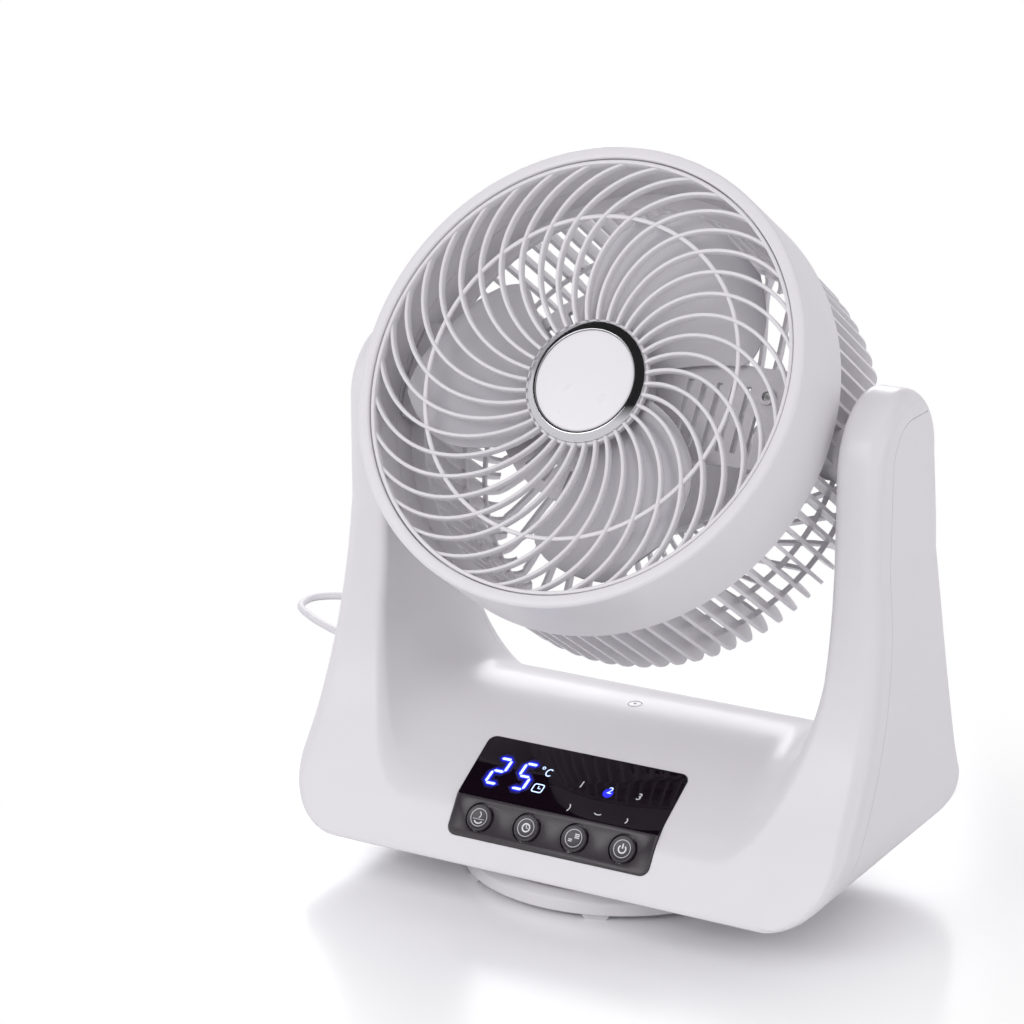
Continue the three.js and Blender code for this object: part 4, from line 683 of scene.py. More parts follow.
DISH_EDGE_Y = FRONT_FOOT_Y + (DISH_EDGE_Z - YOKE_BOTTOM) * math.tan(BAND_ANGLE)
DISH_ARC_Y = DISH_EDGE_Y + DISH_FLAT * math.cos(DISH_ANGLE)
DISH_ARC_Z = DISH_EDGE_Z + DISH_FLAT * math.sin(DISH_ANGLE)
CREST_Y = DISH_ARC_Y + DISH_CREST_RADIUS * math.sin(DISH_ANGLE)
CREST_CENTRE_Z = DISH_ARC_Z - DISH_CREST_RADIUS * math.cos(DISH_ANGLE)


def dish_top(y):
    """Height of the dish's middle at a y."""
    y = np.asarray(y, float)
    flat = DISH_EDGE_Z + (y - DISH_EDGE_Y) * math.tan(DISH_ANGLE)
    crest = CREST_CENTRE_Z + np.sqrt(np.maximum(DISH_CREST_RADIUS**2 - (y - CREST_Y) ** 2, 0))
    return np.where(y <= DISH_ARC_Y, flat, crest)


def outline_distance(outline, a, b):
    """Signed distance of points to a closed outline, negative inside it."""
    points = np.array(outline, float)
    a, b = np.asarray(a, float), np.asarray(b, float)
    least = np.full(a.shape, np.inf)
    inside = np.zeros(a.shape, bool)
    for (x0, y0), (x1, y1) in zip(points, np.roll(points, -1, axis=0)):
        dx, dy = x1 - x0, y1 - y0
        share = np.clip(((a - x0) * dx + (b - y0) * dy) / (dx * dx + dy * dy + 1e-12), 0, 1)
        least = np.minimum(least, (a - x0 - share * dx) ** 2 + (b - y0 - share * dy) ** 2)
        if y0 != y1:
            crosses = (b < y0) != (b < y1)
            inside ^= crosses & (a < (b - y0) * dx / dy + x0)
    return np.sqrt(least) * np.where(inside, -1, 1)


class Table:
    """A smooth function of two numbers, kept on a fine grid and read by interpolation."""

    def __init__(self, function, low, high, step):
        self.low, self.step = np.array(low, float), step
        axes = [np.arange(l, h + step, step) for l, h in zip(low, high)]
        self.values = function(*np.meshgrid(*axes, indexing="ij"))

    def __call__(self, a, b):
        u, v = (a - self.low[0]) / self.step, (b - self.low[1]) / self.step
        rows, columns = self.values.shape
        i = np.clip(u.astype(int), 0, rows - 2)
        j = np.clip(v.astype(int), 0, columns - 2)
        u, v = np.clip(u - i, 0, 1), np.clip(v - j, 0, 1)
        t = self.values
        return ((t[i, j] * (1 - u) + t[i + 1, j] * u) * (1 - v)
                + (t[i, j + 1] * (1 - u) + t[i + 1, j + 1] * u) * v)


def yoke_distance():
    """A function of x, y and z that is negative inside the yoke and rounds its edges."""
    side = Table(lambda y, z: outline_distance(yoke_side(), y, z), (-120, 5), (105, 300), 0.5)
    front = Table(lambda x, z: outline_distance(yoke_front(), x, z), (0, 5), (180, 300), 0.5)
    section = Table(lambda x, h: outline_distance(dish_section(), x, h), (0, -110), (180, 290), 0.5)

    def distance(x, y, z):
        x = np.abs(x)
        slant = np.cos(np.arctan((dish_top(y + 0.1) - dish_top(y - 0.1)) / 0.2))
        rise = np.clip((z - YOKE_BOTTOM) / (SOFT_EDGE_Z - YOKE_BOTTOM), 0, 1)
        outer_round = BOTTOM_ROUND + (ARM_ROUND - BOTTOM_ROUND) * rise * rise * (3 - 2 * rise)
        outer = rounded_most([side(y, z), front(x, z)], outer_round)
        return rounded_most([outer, -section(x, z - dish_top(y)) * slant], DISH_ROUND)

    return distance


def rounded_most(distances, radius):
    """The largest of several distances, with the edges between them rounded."""
    beyond = sum(np.maximum(d + radius, 0) ** 2 for d in distances)
    most = distances[0]
    for d in distances[1:]:
        most = np.maximum(most, d)
    return np.minimum(most, -radius) + np.sqrt(beyond)


def surface_of(distance, low, high, step):
    """The zero surface of a distance function as quads: one vertex in each crossed cell of a grid."""
    axes = [np.arange(l, h + step, step) for l, h in zip(low, high)]
    inside = distance(*np.meshgrid(*axes, indexing="ij")) < 0
    rows, columns, layers = (n - 1 for n in inside.shape)
    corners = np.zeros((rows, columns, layers), np.int8)
    for i, j, k in itertools.product((0, 1), repeat=3):
        corners += inside[i:i + rows, j:j + columns, k:k + layers]
    crossed = (corners > 0) & (corners < 8)
    number = np.full(crossed.shape, -1)
    number[crossed] = np.arange(crossed.sum())
    verts = np.array([a[0] for a in axes]) + (np.argwhere(crossed) + 0.5) * step
    return verts, np.concatenate([crossing_quads(inside, number, axis) for axis in range(3)])


def crossing_quads(inside, number, axis):
    """A quad round each grid edge along an axis that the surface crosses, facing outwards."""
    a, b = [(1, 2), (2, 0), (0, 1)][axis]
    ahead = np.take(inside, range(1, inside.shape[axis]), axis)
    here = np.take(inside, range(inside.shape[axis] - 1), axis)
    at = np.argwhere(here != ahead)
    at = at[(at[:, a] > 0) & (at[:, b] > 0)]
    leaving = here[tuple(at.T)]
    quads = []
    for da, db in ((0, 0), (1, 0), (1, 1), (0, 1)):
        cell = at.copy()
        cell[:, a] -= da
        cell[:, b] -= db
        quads.append(number[tuple(cell.T)])
    quads = np.stack(quads, 1)
    quads[~leaving] = quads[~leaving][:, ::-1]
    return quads


def drawn_to(distance, verts, quads, rounds):
    """Spreads the vertices evenly and moves them onto the zero surface."""
    edges = np.concatenate([quads[:, [i, (i + 1) % 4]] for i in range(4)])
    edges = np.concatenate([edges, edges[:, ::-1]])
    reach = np.bincount(edges[:, 0], minlength=len(verts))[:, None]
    probe = 0.2
    for _ in range(rounds):
        mean = [np.bincount(edges[:, 0], verts[edges[:, 1], k], len(verts)) for k in range(3)]
        verts = verts * 0.4 + np.stack(mean, 1) / reach * 0.6
        for _ in range(2):
            slope = [distance(*(verts + step).T) - distance(*(verts - step).T) for step in probe * np.eye(3)]
            slope = np.stack(slope, 1) / (2 * probe)
            flat = np.maximum((slope**2).sum(1), 0.05)
            verts = verts - slope * (distance(*verts.T) / flat)[:, None]
    return verts


def seam_outline(margin):
    """Everything behind the seam on the arm's outer side, in the side view."""
    inset = SEAM_SETBACK - margin
    front = side_outline(inset)
    radius = ARM_TOP_RADIUS - SEAM_SETBACK + 2 + margin
    centre = (PIVOT_Y - ARM_TOP_RADIUS + inset + radius, PIVOT_Z)
    low = YOKE_BOTTOM - 5
    return [(front[0][0] - 8, low), *front, *arc(centre, radius, 180, 90, 24)[1:],
            (PIVOT_Y + 120, PIVOT_Z + radius), (PIVOT_Y + 120, low)]


def rear_zone(margin):
    """The part of the yoke that the rear shell takes: the arms' outer sides and the rear wall."""
    zone = tool(along_x(seam_outline(margin), -200, 200))
    side = rectangle(-120, 150, 0, 320)
    wall = rectangle(REAR_WALL_Y - margin, 150, 0, DISH_EDGE_Z * 2)
    reach = tool(along_x(side, -200, -SEAM_X + margin))
    combined(reach, "UNION", along_x(side, SEAM_X - margin, 200), along_x(wall, -200, 200))
    combined(zone, "INTERSECT", reach)
    return zone


def yoke_cuts():
    """The hollow base, the bearing holes, the tilt motor's and the window's holes and the panel's pocket."""
    setback = 1.35 * SHELL_WALL / math.cos(BAND_ANGLE)
    edge = DISH_EDGE_Y + setback - 1.4
    drop = SHELL_WALL / math.cos(DISH_ANGLE)
    wall = REAR_WALL_Y
    under = [float(dish_top(y)) - SHELL_WALL for y in (CREST_Y, wall - 10, wall + 12)]
    cavity = [
        (FRONT_FOOT_Y + setback, YOKE_BOTTOM - 1), (edge, float(dish_top(edge)) - drop - 0.5),
        (DISH_ARC_Y, DISH_ARC_Z - drop), (CREST_Y, under[0]), (wall - 10, under[1]),
        (wall + 12, under[2] - 3), (wall + 12, 40), (wall + 4, YOKE_BOTTOM - 1),
    ]
    pivot = np.array([0, PIVOT_Y, PIVOT_Z])
    bores = [mapped(bar_x(*bore), lambda p: p + pivot) for bore in TILT_BORES]
    motor = mapped(bar_x(*MOTOR_BORE), lambda p: p + (0, MOTOR_Y, MOTOR_Z))
    window = extruded(circle(WINDOW_RADIUS + GAP), 60, 100)
    window = mapped(window, lambda p: p + (WINDOW_X, WINDOW_Y, 0))
    pockets = [
        mapped(panel_slab(length + GAP, PANEL_HALF_WIDTH + GAP, -PANEL_THICKNESS - GAP, 6, PANEL_CORNER + GAP,
                          -0.02), place)
        for length, place in ((LENS_LENGTH, on_dish), (STRIP_LENGTH, on_band))]
    return [along_x(cavity, -CAVITY_HALF_WIDTH, CAVITY_HALF_WIDTH), *bores, motor, window, *pockets]


def make_window():
    """The flush receiver window on the crest, with its small dark eye."""
    top = float(dish_top(WINDOW_Y))
    radius, low = WINDOW_RADIUS, top - SHELL_WALL
    place = (WINDOW_X, WINDOW_Y, 0)
    corners = [(0, low), (radius, low), (radius, top), (0, top + 0.2)]
    cap = mapped(turned(rounded(corners, [0, 0.2, 0.5, 0], 4, closed=False), 64), lambda p: p + place)
    piece("window_cap", cap, "yoke", "badge", ["ir_window"], "housing")
    eye = [(0, top - 0.4), (EYE_RADIUS, top - 0.4), (EYE_RADIUS, top + 0.26), (0, top + 0.34)]
    eye = mapped(turned(eye, 32), lambda p: p + place)
    piece("window_eye", eye, "yoke", "button_panel", slot="display_gloss")


def make_yoke():
    """One rounded solid, cut along the seam into the front and the rear shell."""
    distance = yoke_distance()
    step, rounds = ((1.7, 4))
    verts, quads = surface_of(distance, (-168, -98, 14), (168, 92, 288), step)
    verts = drawn_to(distance, verts, quads, rounds)
    front = tool((verts, [tuple(q) for q in quads.tolist()]))
    combined(front, "DIFFERENCE", *yoke_cuts())
    rear = front.copy()
    rear.data = front.data.copy()
    scene.collection.objects.link(rear)
    combined(front, "DIFFERENCE", rear_zone(GAP))
    combined(rear, "INTERSECT", rear_zone(0))
    finish(front, "yoke_front_moulded", "yoke", "housing", ["yoke_front_shell"], sharp=30)
    finish(rear, "yoke_rear_moulded", "yoke", "housing", ["yoke_rear_shell"], sharp=30)


# ------------------------------------------------------------------ control panel
BAND_DOWN = np.array([0, -math.sin(BAND_ANGLE), -math.cos(BAND_ANGLE)])
BAND_OUT = np.array([0, -math.cos(BAND_ANGLE), math.sin(BAND_ANGLE)])
DISH_UP = np.array([0, math.cos(DISH_ANGLE), math.sin(DISH_ANGLE)])
DISH_OUT = np.array([0, -math.sin(DISH_ANGLE), math.cos(DISH_ANGLE)])
BEND = np.array([0, DISH_EDGE_Y, DISH_EDGE_Z])
HALF_BEND = (math.pi / 2 - DISH_ANGLE - BAND_ANGLE) / 2


def on_dish(points):
    """(x, distance up from the bend, height above the surface) to a place on the display."""
    return BEND + points[:, :1] * (1, 0, 0) + points[:, 1:2] * DISH_UP + points[:, 2:] * DISH_OUT


def on_band(points):
    """(x, distance down from the bend, height above the surface) to a place on the button strip."""
    return BEND + points[:, :1] * (1, 0, 0) + points[:, 1:2] * BAND_DOWN + points[:, 2:] * BAND_OUT


def panel_slab(length, half_width, low, high, corner, setback):
    """A slab on one side of the bend, mitred there, with its two far corners rounded."""
    far = arc((half_width - corner, length - corner), corner, 0, 90, 10)
    outline = [(half_width, None), *far, *[(-x, v) for x, v in reversed(far)], (-half_width, None)]
    sections = []
    for height in (low, high):
        mitre = setback - height * math.tan(HALF_BEND)
        sections.append([(x, mitre if v is None else v, height) for x, v in outline])
    return lofted(sections)


def panel_part(length, place, holes=()):
    """One side of the panel with soft edges, set on its surface."""
    part = tool(panel_slab(length, PANEL_HALF_WIDTH, -PANEL_THICKNESS, PANEL_PROUD, PANEL_CORNER, GAP / 2))
    combined(part, "DIFFERENCE", *holes)
    bevel(part, 0.3)
    part.data.transform(placing(place))
    return part


def make_panel():
    lens = panel_part(LENS_LENGTH, on_dish)
    finish(lens, "display_window", "yoke", "display_gloss", ["display_lens"])
    hole = extruded(circle(HOLE_RADIUS), -6, 6)
    holes = [mapped(hole, lambda p, x=x: p + (x, BUTTON_DROP, 0)) for x in button_places()]
    strip = panel_part(STRIP_LENGTH, on_band, holes)
    finish(strip, "button_plate", "yoke", "button_panel", ["button_strip"])
    make_panel_edge()
    for name, x in zip(BUTTONS, button_places()):
        make_button(name, x)


def make_panel_edge():
    """The glossy dark line round the button plate."""
    side, far = PANEL_HALF_WIDTH - 0.55, STRIP_LENGTH - 0.55
    half = [(side, 0.4), *arc((side - PANEL_CORNER, far - PANEL_CORNER), PANEL_CORNER, 0, 90, 10)]
    path = half + [(-x, v) for x, v in reversed(half)]
    line = ribbon(path, 0.9, PANEL_PROUD - 0.1, PANEL_PROUD + 0.04)
    piece("panel_edge", mapped(line, on_band), "yoke", "display_gloss")


def button_places():
    return [(i - 1.5) * BUTTON_PITCH for i in range(4)]


def button_top(radius):
    """Height of a button's hollowed top."""
    return BUTTON_PROUD - 0.55 + 0.5 * (radius / (CAP_RADIUS - 0.9)) ** 2


def make_button(name, x):
    flange, edge_round = -PANEL_THICKNESS - GAP, 0.8
    profile = [(0, flange - 1.2), (BUTTON_RADIUS + 1, flange - 1.2), (BUTTON_RADIUS + 1, flange),
               (CAP_RADIUS, flange)]
    profile += arc((CAP_RADIUS - edge_round, BUTTON_PROUD - edge_round), edge_round, 0, 90, 6)
    profile += [(r, button_top(r)) for r in np.linspace(CAP_RADIUS - 1.1, 0, 8)]

    def place(points):
        return on_band(points + (x, BUTTON_DROP, 0))

    body = f"{name}_key"
    piece(f"{body}_cap", mapped(turned(profile, 64), place), body, "button_panel", [f"{name}_button"])
    marks = mapped(joined(*icon(name)), laid_on_button)
    piece(f"{body}_icon", mapped(marks, place), body, "icon", slot="button_panel")


def laid_on_button(points):
    """Lifts flat marks onto the hollowed top of a button. Their height is read above that surface."""
    radius = np.hypot(points[:, 0], points[:, 1])
    return np.stack([points[:, 0], points[:, 1], points[:, 2] + button_top(radius)], 1)


def stroke(path, width=0.55, closed=False):
    return ribbon(path, width, -ICON_SINK, ICON_RISE, closed)


def icon(name):
    """A thin ring with a symbol in it. Down the strip is positive."""
    ring = stroke(circle(4.75, 48), 0.3, True)
    if name == "swing":
        return [ring, stroke(arc((-1.1, -1.5), 1.9, -60, 60, 10), 0.5),
                stroke([(-3.4, 0.9), (3.4, 0.9)], 0.25), stroke(arc((0, 0.6), 2.6, 30, 150, 14), 0.7)]
    if name == "timer":
        return [ring, stroke(circle(2.15, 24), 0.85, True), stroke([(0, -1.5), (0, 0.1), (1.2, 0.1)], 0.5)]
    if name == "speed":
        rows = ((0.3, 3.1, -2.3, 3), (-2.9, -0.8, 0.8, 2))  # from x, to x, first bar, bars
        return [ring, *[stroke([(start, first + 0.95 * k), (end, first + 0.95 * k)])
                        for start, end, first, count in rows for k in range(count)]]
    return [ring, stroke(arc((0, 0.15), 2.1, -50, 230, 22), 0.8), stroke([(0, -2.8), (0, -0.1)], 0.8)]


# ------------------------------------------------------------------ display
SEGMENTS = {  # from and to, in widths and half heights of a digit
    "a": ((0, 2), (1, 2)), "b": ((1, 2), (1, 1)), "c": ((1, 1), (1, 0)), "d": ((0, 0), (1, 0)),
    "e": ((0, 1), (0, 0)), "f": ((0, 2), (0, 1)), "g": ((0, 1), (1, 1)),
}
NUMBER = (("abged", -48.4), ("afgcd", -32.4))  # the lit bars of each digit and its left edge
DIGIT_WIDTH, DIGIT_HEIGHT, DIGIT_STROKE, DIGIT_GAP = 6.8, 17.4, 1.55, 0.45
DIGIT_FOOT, DIGIT_LEAN = 9.9, 0.08
LENS_TOP = PANEL_PROUD
LENS_SINK, LENS_RISE = 0.05, 0.06  # how far the marks reach into the window and stand proud
GLOWS = (("glow", 0.75, 0.045), ("halo", 1.5, 0.03), ("faint", 2.6, 0.015))  # painted glow round the digits, in layers: name, growth, rise


def digit_bars(segments, left, grow=0.0, height=LENS_RISE):
    """Pointed bars of a lit digit. grow widens them for the painted glow round them."""
    shapes = []
    for name in segments:
        ends = [np.array([u * DIGIT_WIDTH, v * DIGIT_HEIGHT / 2]) for u, v in SEGMENTS[name]]
        along = (ends[1] - ends[0]) / np.linalg.norm(ends[1] - ends[0])
        across = np.array([-along[1], along[0]])
        half, gap = DIGIT_STROKE / 2 + grow, DIGIT_GAP - grow
        start, end = ends[0] + along * gap, ends[1] - along * gap
        bar = [start, start + (along + across) * half, end + (across - along) * half,
               end, end - (along + across) * half, start + (along - across) * half]
        placed = [(left + u + v * DIGIT_LEAN, DIGIT_FOOT + v) for u, v in bar]
        shapes.append(on_lens(placed, height))
    return shapes


def on_lens(outline, height=LENS_RISE):
    return extruded(outline, LENS_TOP - LENS_SINK, LENS_TOP + height)


def lens_line(path, width, closed=False):
    return ribbon(path, width, LENS_TOP - LENS_SINK, LENS_TOP + LENS_RISE, closed)


def number_glow(grow, height):
    """The number's bars grown into one flat patch of painted glow."""
    bars = [bar for segments, left in NUMBER for bar in digit_bars(segments, left, grow, height)]
    patch = tool(bars[0])
    combined(patch, "UNION", *bars[1:])
    patch.data.transform(placing(on_dish))
    return patch


def glyph(text, size, place):
    """A slanted numeral from the built-in typeface as a thin plate centred on a place of the window."""
    font = bpy.data.curves.new("glyph", "FONT")
    font.body, font.size, font.shear = text, size, 0.12
    font.align_x, font.align_y = "CENTER", "CENTER"
    font.extrude = (LENS_RISE + LENS_SINK) / 2
    font.resolution_u = 6
    obj = bpy.data.objects.new("glyph", font)
    scene.collection.objects.link(obj)
    bpy.context.view_layer.update()
    mesh = bpy.data.meshes.new_from_object(obj.evaluated_get(bpy.context.evaluated_depsgraph_get()))
    middle = LENS_TOP + (LENS_RISE - LENS_SINK) / 2
    verts = [tuple(v.co + Vector((*place, middle))) for v in mesh.vertices]
    faces = [tuple(f.vertices) for f in mesh.polygons]
    bpy.data.objects.remove(obj)
    return verts, faces


def make_display():
    """Lit digits with their painted glow, the lit speed with a painted glow spot, and the printed marks. All
    stand a hair above the window.
    """
    number = [bar for segments, left in NUMBER for bar in digit_bars(segments, left)]
    degree = lens_line(circle(0.8, 12, (-20.2, 26.6)), 0.45, closed=True)
    letter = lens_line([(-15.9 + 1.8 * math.cos(a) + 0.2 * math.sin(a), 24.2 + 2.3 * math.sin(a))
                        for a in np.radians(np.linspace(48, 318, 20))], 0.62)
    clock_case = rounded([(-20.6, 10.3), (-14.7, 10.3), (-14.3, 15.6), (-20.2, 15.6)], 1.3, 4)
    clock_hands = [(-17.4, 14.5), (-17.5, 12.8), (-15.9, 12.8)]
    clock = [lens_line(clock_case, 0.65, closed=True), lens_line(clock_hands, 0.55)]
    lit_marks = joined(*number, degree, letter, *clock, glyph("2", 6.2, (22.3, 20.9)))
    piece("display_digits", mapped(lit_marks, on_dish), "yoke", "digit", slot="display_gloss")
    for name, growth, rise in GLOWS:
        finish(number_glow(growth, rise), f"display_{name}", "yoke", name, slot="display_gloss")
    # painted glow round the lit speed
    spot = on_lens(circle(2.9, 48, (21.9, 19.1)), 0.03)
    piece("display_spot", mapped(spot, on_dish), "yoke", "glow", slot="display_gloss")
    waves = [((2.4, 5.0), 3.4, -42, 42), ((22.6, 7.2), 3.0, 228, 312), ((38.2, 4.3), 2.2, -48, 48)]
    printed = joined(glyph("1", 6.2, (5.1, 21.0)), glyph("3", 6.2, (39.6, 20.8)),
                     *[lens_line(arc(*wave, 10), 0.6) for wave in waves])
    piece("display_marks", mapped(printed, on_dish), "yoke", "icon", slot="display_gloss")


# ------------------------------------------------------------------ head
def in_head(points):
    """From the head's own frame, whose Z runs forward along the fan axis, to the row frame."""
    c, s = math.cos(HEAD_ANGLE), math.sin(HEAD_ANGLE)
    x, y, z = points.T
    return np.stack([x, PIVOT_Y + y * c - z * s, PIVOT_Z + y * s + z * c], 1)


def forward(depth):
    return PIVOT_DEPTH - depth


def turned_head(profile, segments):
    """A profile of (radius, depth behind the ring's front) turned about the fan axis, in the head's frame."""
    return turned([(r, forward(d)) for r, d in profile], segments)


def make_ring():
    skin = DRUM_RADIUS - DRUM_SKIN
    corners = [(RING_INNER, 0.2), (RING_RADIUS, 0), (DRUM_RADIUS, DRUM_DEPTH), (skin, DRUM_DEPTH),
               (skin, DUCT_SEAM), (RING_INNER, DUCT_SEAM)]
    ring = turned_head(rounded(corners, [1.3, 2.2, 0.8, 0.8, 0.5, 0.5], 6), 256)
    piece("front_ring_moulded", mapped(ring, in_head), "head", "housing", ["front_ring"])


def rib_depth(radius):
    """Depth of a grille rib's front edge at a radius."""
    share = max(0, (GRILLE_FLAT_RADIUS - radius) / (GRILLE_FLAT_RADIUS - BADGE_RADIUS))
    return RIB_DEPTH + GRILLE_DISH * share**1.6


def sweep_end(start, end):
    """The angle of arc at which a rib that starts at one radius reaches another."""
    low, high = 0.0, math.pi
    for _ in range(40):
        middle = (low + high) / 2
        x = start + RIB_SWEEP_RADIUS * math.sin(middle)
        reach = math.hypot(x, RIB_SWEEP_RADIUS * (math.cos(middle) - 1))
        low, high = (middle, high) if reach < end else (low, middle)
    return low


def grille_rib(start, end, steps):
    """A rib that leaves the hub radially and bends along an arc to the rim."""
    sections = []
    for a in np.linspace(0, sweep_end(start, end), steps + 1):
        x = start + RIB_SWEEP_RADIUS * math.sin(a)
        y = RIB_SWEEP_RADIUS * (math.cos(a) - 1)
        top = forward(rib_depth(math.hypot(x, y)))
        sections.append([(x + s * math.sin(a), y + s * math.cos(a), top + h) for s, h in RIB_SECTION])
    return lofted(sections)


def make_grille():
    outer = RING_INNER - 2 * GAP
    rim = rounded(rectangle(outer - 2, outer, RIB_DEPTH - 1.4, RIB_DEPTH + RIB_HEIGHT + 0.5), 0.6)
    hoop = rounded(rectangle(HOOP_RADIUS - 1.1, HOOP_RADIUS + 1.1, HOOP_FRONT, HOOP_BACK), 0.8)
    front = BADGE_DEPTH + GAP
    back = front + HUB_THICKNESS
    hub = rounded([(0, back), (HUB_RADIUS, back), (HUB_RADIUS, front), (0, front)], [0, 0.8, 0.8, 0],
                  closed=False)
    grille = tool(repeated(grille_rib(HUB_RADIUS - 0.9, outer - 1, 26), RIB_COUNT, FIRST_RIB_ANGLE))
    combined(grille, "UNION", *[turned_head(p, 144) for p in (rim, hoop, hub)])
    grille.data.transform(placing(in_head))
    finish(grille, "front_grille_moulded", "head", "housing", ["front_grille"])


def make_badge():
    """A chrome ring round a blank, slightly domed disc."""
    seat, top, inner = BADGE_DEPTH, BADGE_DEPTH - BADGE_RISE, BADGE_DISC_RADIUS + GAP
    bezel = rounded([(inner, seat), (BADGE_RADIUS, seat), (BADGE_RADIUS, seat - 0.9),
                     (BADGE_DISC_RADIUS + 1.4, top), (inner, top)], [0, 0.3, 0.6, 0.9, 0.3], 6)
    piece("badge_bezel", mapped(turned_head(bezel, 192), in_head), "head", "chrome", ["badge_ring"])
    face, crown, edge = top + 0.2, 0.7, BADGE_DISC_RADIUS - 0.5
    dome = [(r, face - crown * (1 - (r / edge) ** 2)) for r in np.linspace(edge, 0, 16)]
    disc = [(0, seat), (BADGE_DISC_RADIUS, seat), (BADGE_DISC_RADIUS, face + 0.5), *dome]
    piece("badge_face", mapped(turned_head(disc, 192), in_head), "head", "badge", ["badge_disc"], sharp=50)


def cage_rib(long):
    """A rib that runs back along the side and rounds the shoulder. A long one goes on to the hub."""
    half = FIN_HALF_WIDTH
    outer_side, inner_side = CAGE_RADIUS - 0.2, CAGE_RADIUS - FIN_HEIGHT + 0.2
    outer_end, inner_end = SHOULDER_END, SHOULDER_END - 3
    shoulder = CAGE_DEPTH - SHOULDER_DEPTH
    pairs = [((outer_side, DRUM_DEPTH + 1.5), (inner_side, DRUM_DEPTH + 1.5))]
    for a in np.radians(np.linspace(0, 90, 9)):
        c, rise = math.cos(a), math.sin(a)
        pairs.append(((outer_end + (outer_side - outer_end) * c, shoulder + SHOULDER_DEPTH * rise),
                      (inner_end + (inner_side - inner_end) * c, shoulder + 3 + 13 * rise)))
    sections = [[(o[0], -half, forward(o[1])), (o[0], half, forward(o[1])),
                 (i[0], half, forward(i[1])), (i[0], -half, forward(i[1]))] for o, i in pairs]
    return lofted(sections + swirl_sections() if long else sections)


def swirl_sections():
    """A long rib's sections from the shoulder to the hub, turned further the nearer they are to it."""
    edge = CAGE_HUB_RADIUS - 1.5
    run = SHOULDER_END - edge
    corners = rectangle(-1, 1, CAGE_DEPTH, CAGE_DEPTH - SWIRL_FIN_DEPTH)
    sections = []
    for t in np.linspace(0.94, 0, 14):
        radius = edge + run * t
        slope = radius * SWIRL_SWEEP * 1.5 * (1 - t) ** 0.5 / run
        side = np.array([-slope, 1]) / math.hypot(slope, 1) * FIN_HALF_WIDTH
        section = [(*(np.array([radius, 0]) + sign * side), forward(depth)) for sign, depth in corners]
        sections.append(turn_z(np.array(section), -SWIRL_SWEEP * (1 - t) ** 1.5))
    return sections


def make_cage():
    inner = CAGE_RADIUS - FIN_HEIGHT
    wide, narrow = DRUM_RADIUS - DRUM_SKIN - GAP, RING_INNER + 0.1
    start, end = DUCT_SEAM + GAP, DRUM_DEPTH + GAP
    lip, step = DRUM_DEPTH + 3.5, DRUM_DEPTH + 0.5
    collar = [(narrow, start), (wide, start), (wide, end), (CAGE_RADIUS, end), (CAGE_RADIUS, lip),
              (inner, lip), (inner, step), (narrow, step)]
    hoops = [rounded([(inner - 1.6, d - 1.5), (inner - 1.6, d + 1.5), (inner + 1.4, d)], 0.3, 2)
             for d in CAGE_HOOPS]
    radius, back, front = CAGE_HUB_RADIUS, CAGE_DEPTH, CAGE_DEPTH - CAGE_HUB_DEPTH
    well, floor = radius - CAGE_HUB_WALL, back - CAGE_HUB_WALL
    hub = rounded([(0, back), (radius, back), (radius, front), (well, front), (well, floor), (0, floor)],
                  [0, 1.2, 0.4, 0.4, 0, 0], 4)
    long_ribs = repeated(cage_rib(True), FIN_COUNT // 2)
    short_ribs = repeated(cage_rib(False), FIN_COUNT // 2, 360 / FIN_COUNT)
    cage = tool(joined(long_ribs, short_ribs))
    bosses = joined(bar_x(BOSS_RADIUS, inner - 2, BOSS_REACH), bar_x(BOSS_RADIUS, -BOSS_REACH, -inner + 2))
    combined(cage, "UNION", *[turned_head(p, 152) for p in (collar, *hoops, hub)], bosses)
    bore = SHAFT_RADIUS + GAP
    combined(cage, "DIFFERENCE", joined(bar_x(bore, inner + 1, 140), bar_x(bore, -140, -inner - 1)))
    cage.data.transform(placing(in_head))
    finish(cage, "rear_cage_moulded", "head", "housing", ["rear_cage"])


# ------------------------------------------------------------------ impeller
def blade_edges(radius):
    """Angles of a blade's leading and trailing edges, and their depths, at a radius."""
    t = (radius - FAN_HUB_RADIUS) / (BLADE_TIP - FAN_HUB_RADIUS)
    tip_round = max(0, (t - 0.62) / 0.38) ** 2  # pulls both edges together towards the tip
    return (-46 - 16 * t + 34 * tip_round, 42 - 34 * t - 12 * tip_round,
            21 - 7 * min(1, t * 1.3), 33.2 + 0.6 * t)


def blade():
    """A swept blade that twists from its hub to its tip and thins towards its edges."""
    sections = []
    for radius in np.linspace(FAN_HUB_RADIUS - 1, BLADE_TIP, 26):
        lead, trail, front, rear = blade_edges(radius)
        upper, lower = [], []
        for share in np.linspace(0, 1, 25):
            angle = math.radians(lead + (trail - lead) * share)
            z = forward(rear + (front - rear) * (1 - (1 - share) ** 1.35))
            fullness = math.sin(math.pi * (0.03 + 0.94 * share)) ** 0.5
            half = BLADE_THICKNESS / 2 * (BLADE_EDGE_SHARE + (1 - BLADE_EDGE_SHARE) * fullness)
            place = (radius * math.cos(angle), radius * math.sin(angle))
            upper.append((*place, z + half))
            lower.append((*place, z - half))
        sections.append(upper + lower[::-1])
    return lofted(sections)


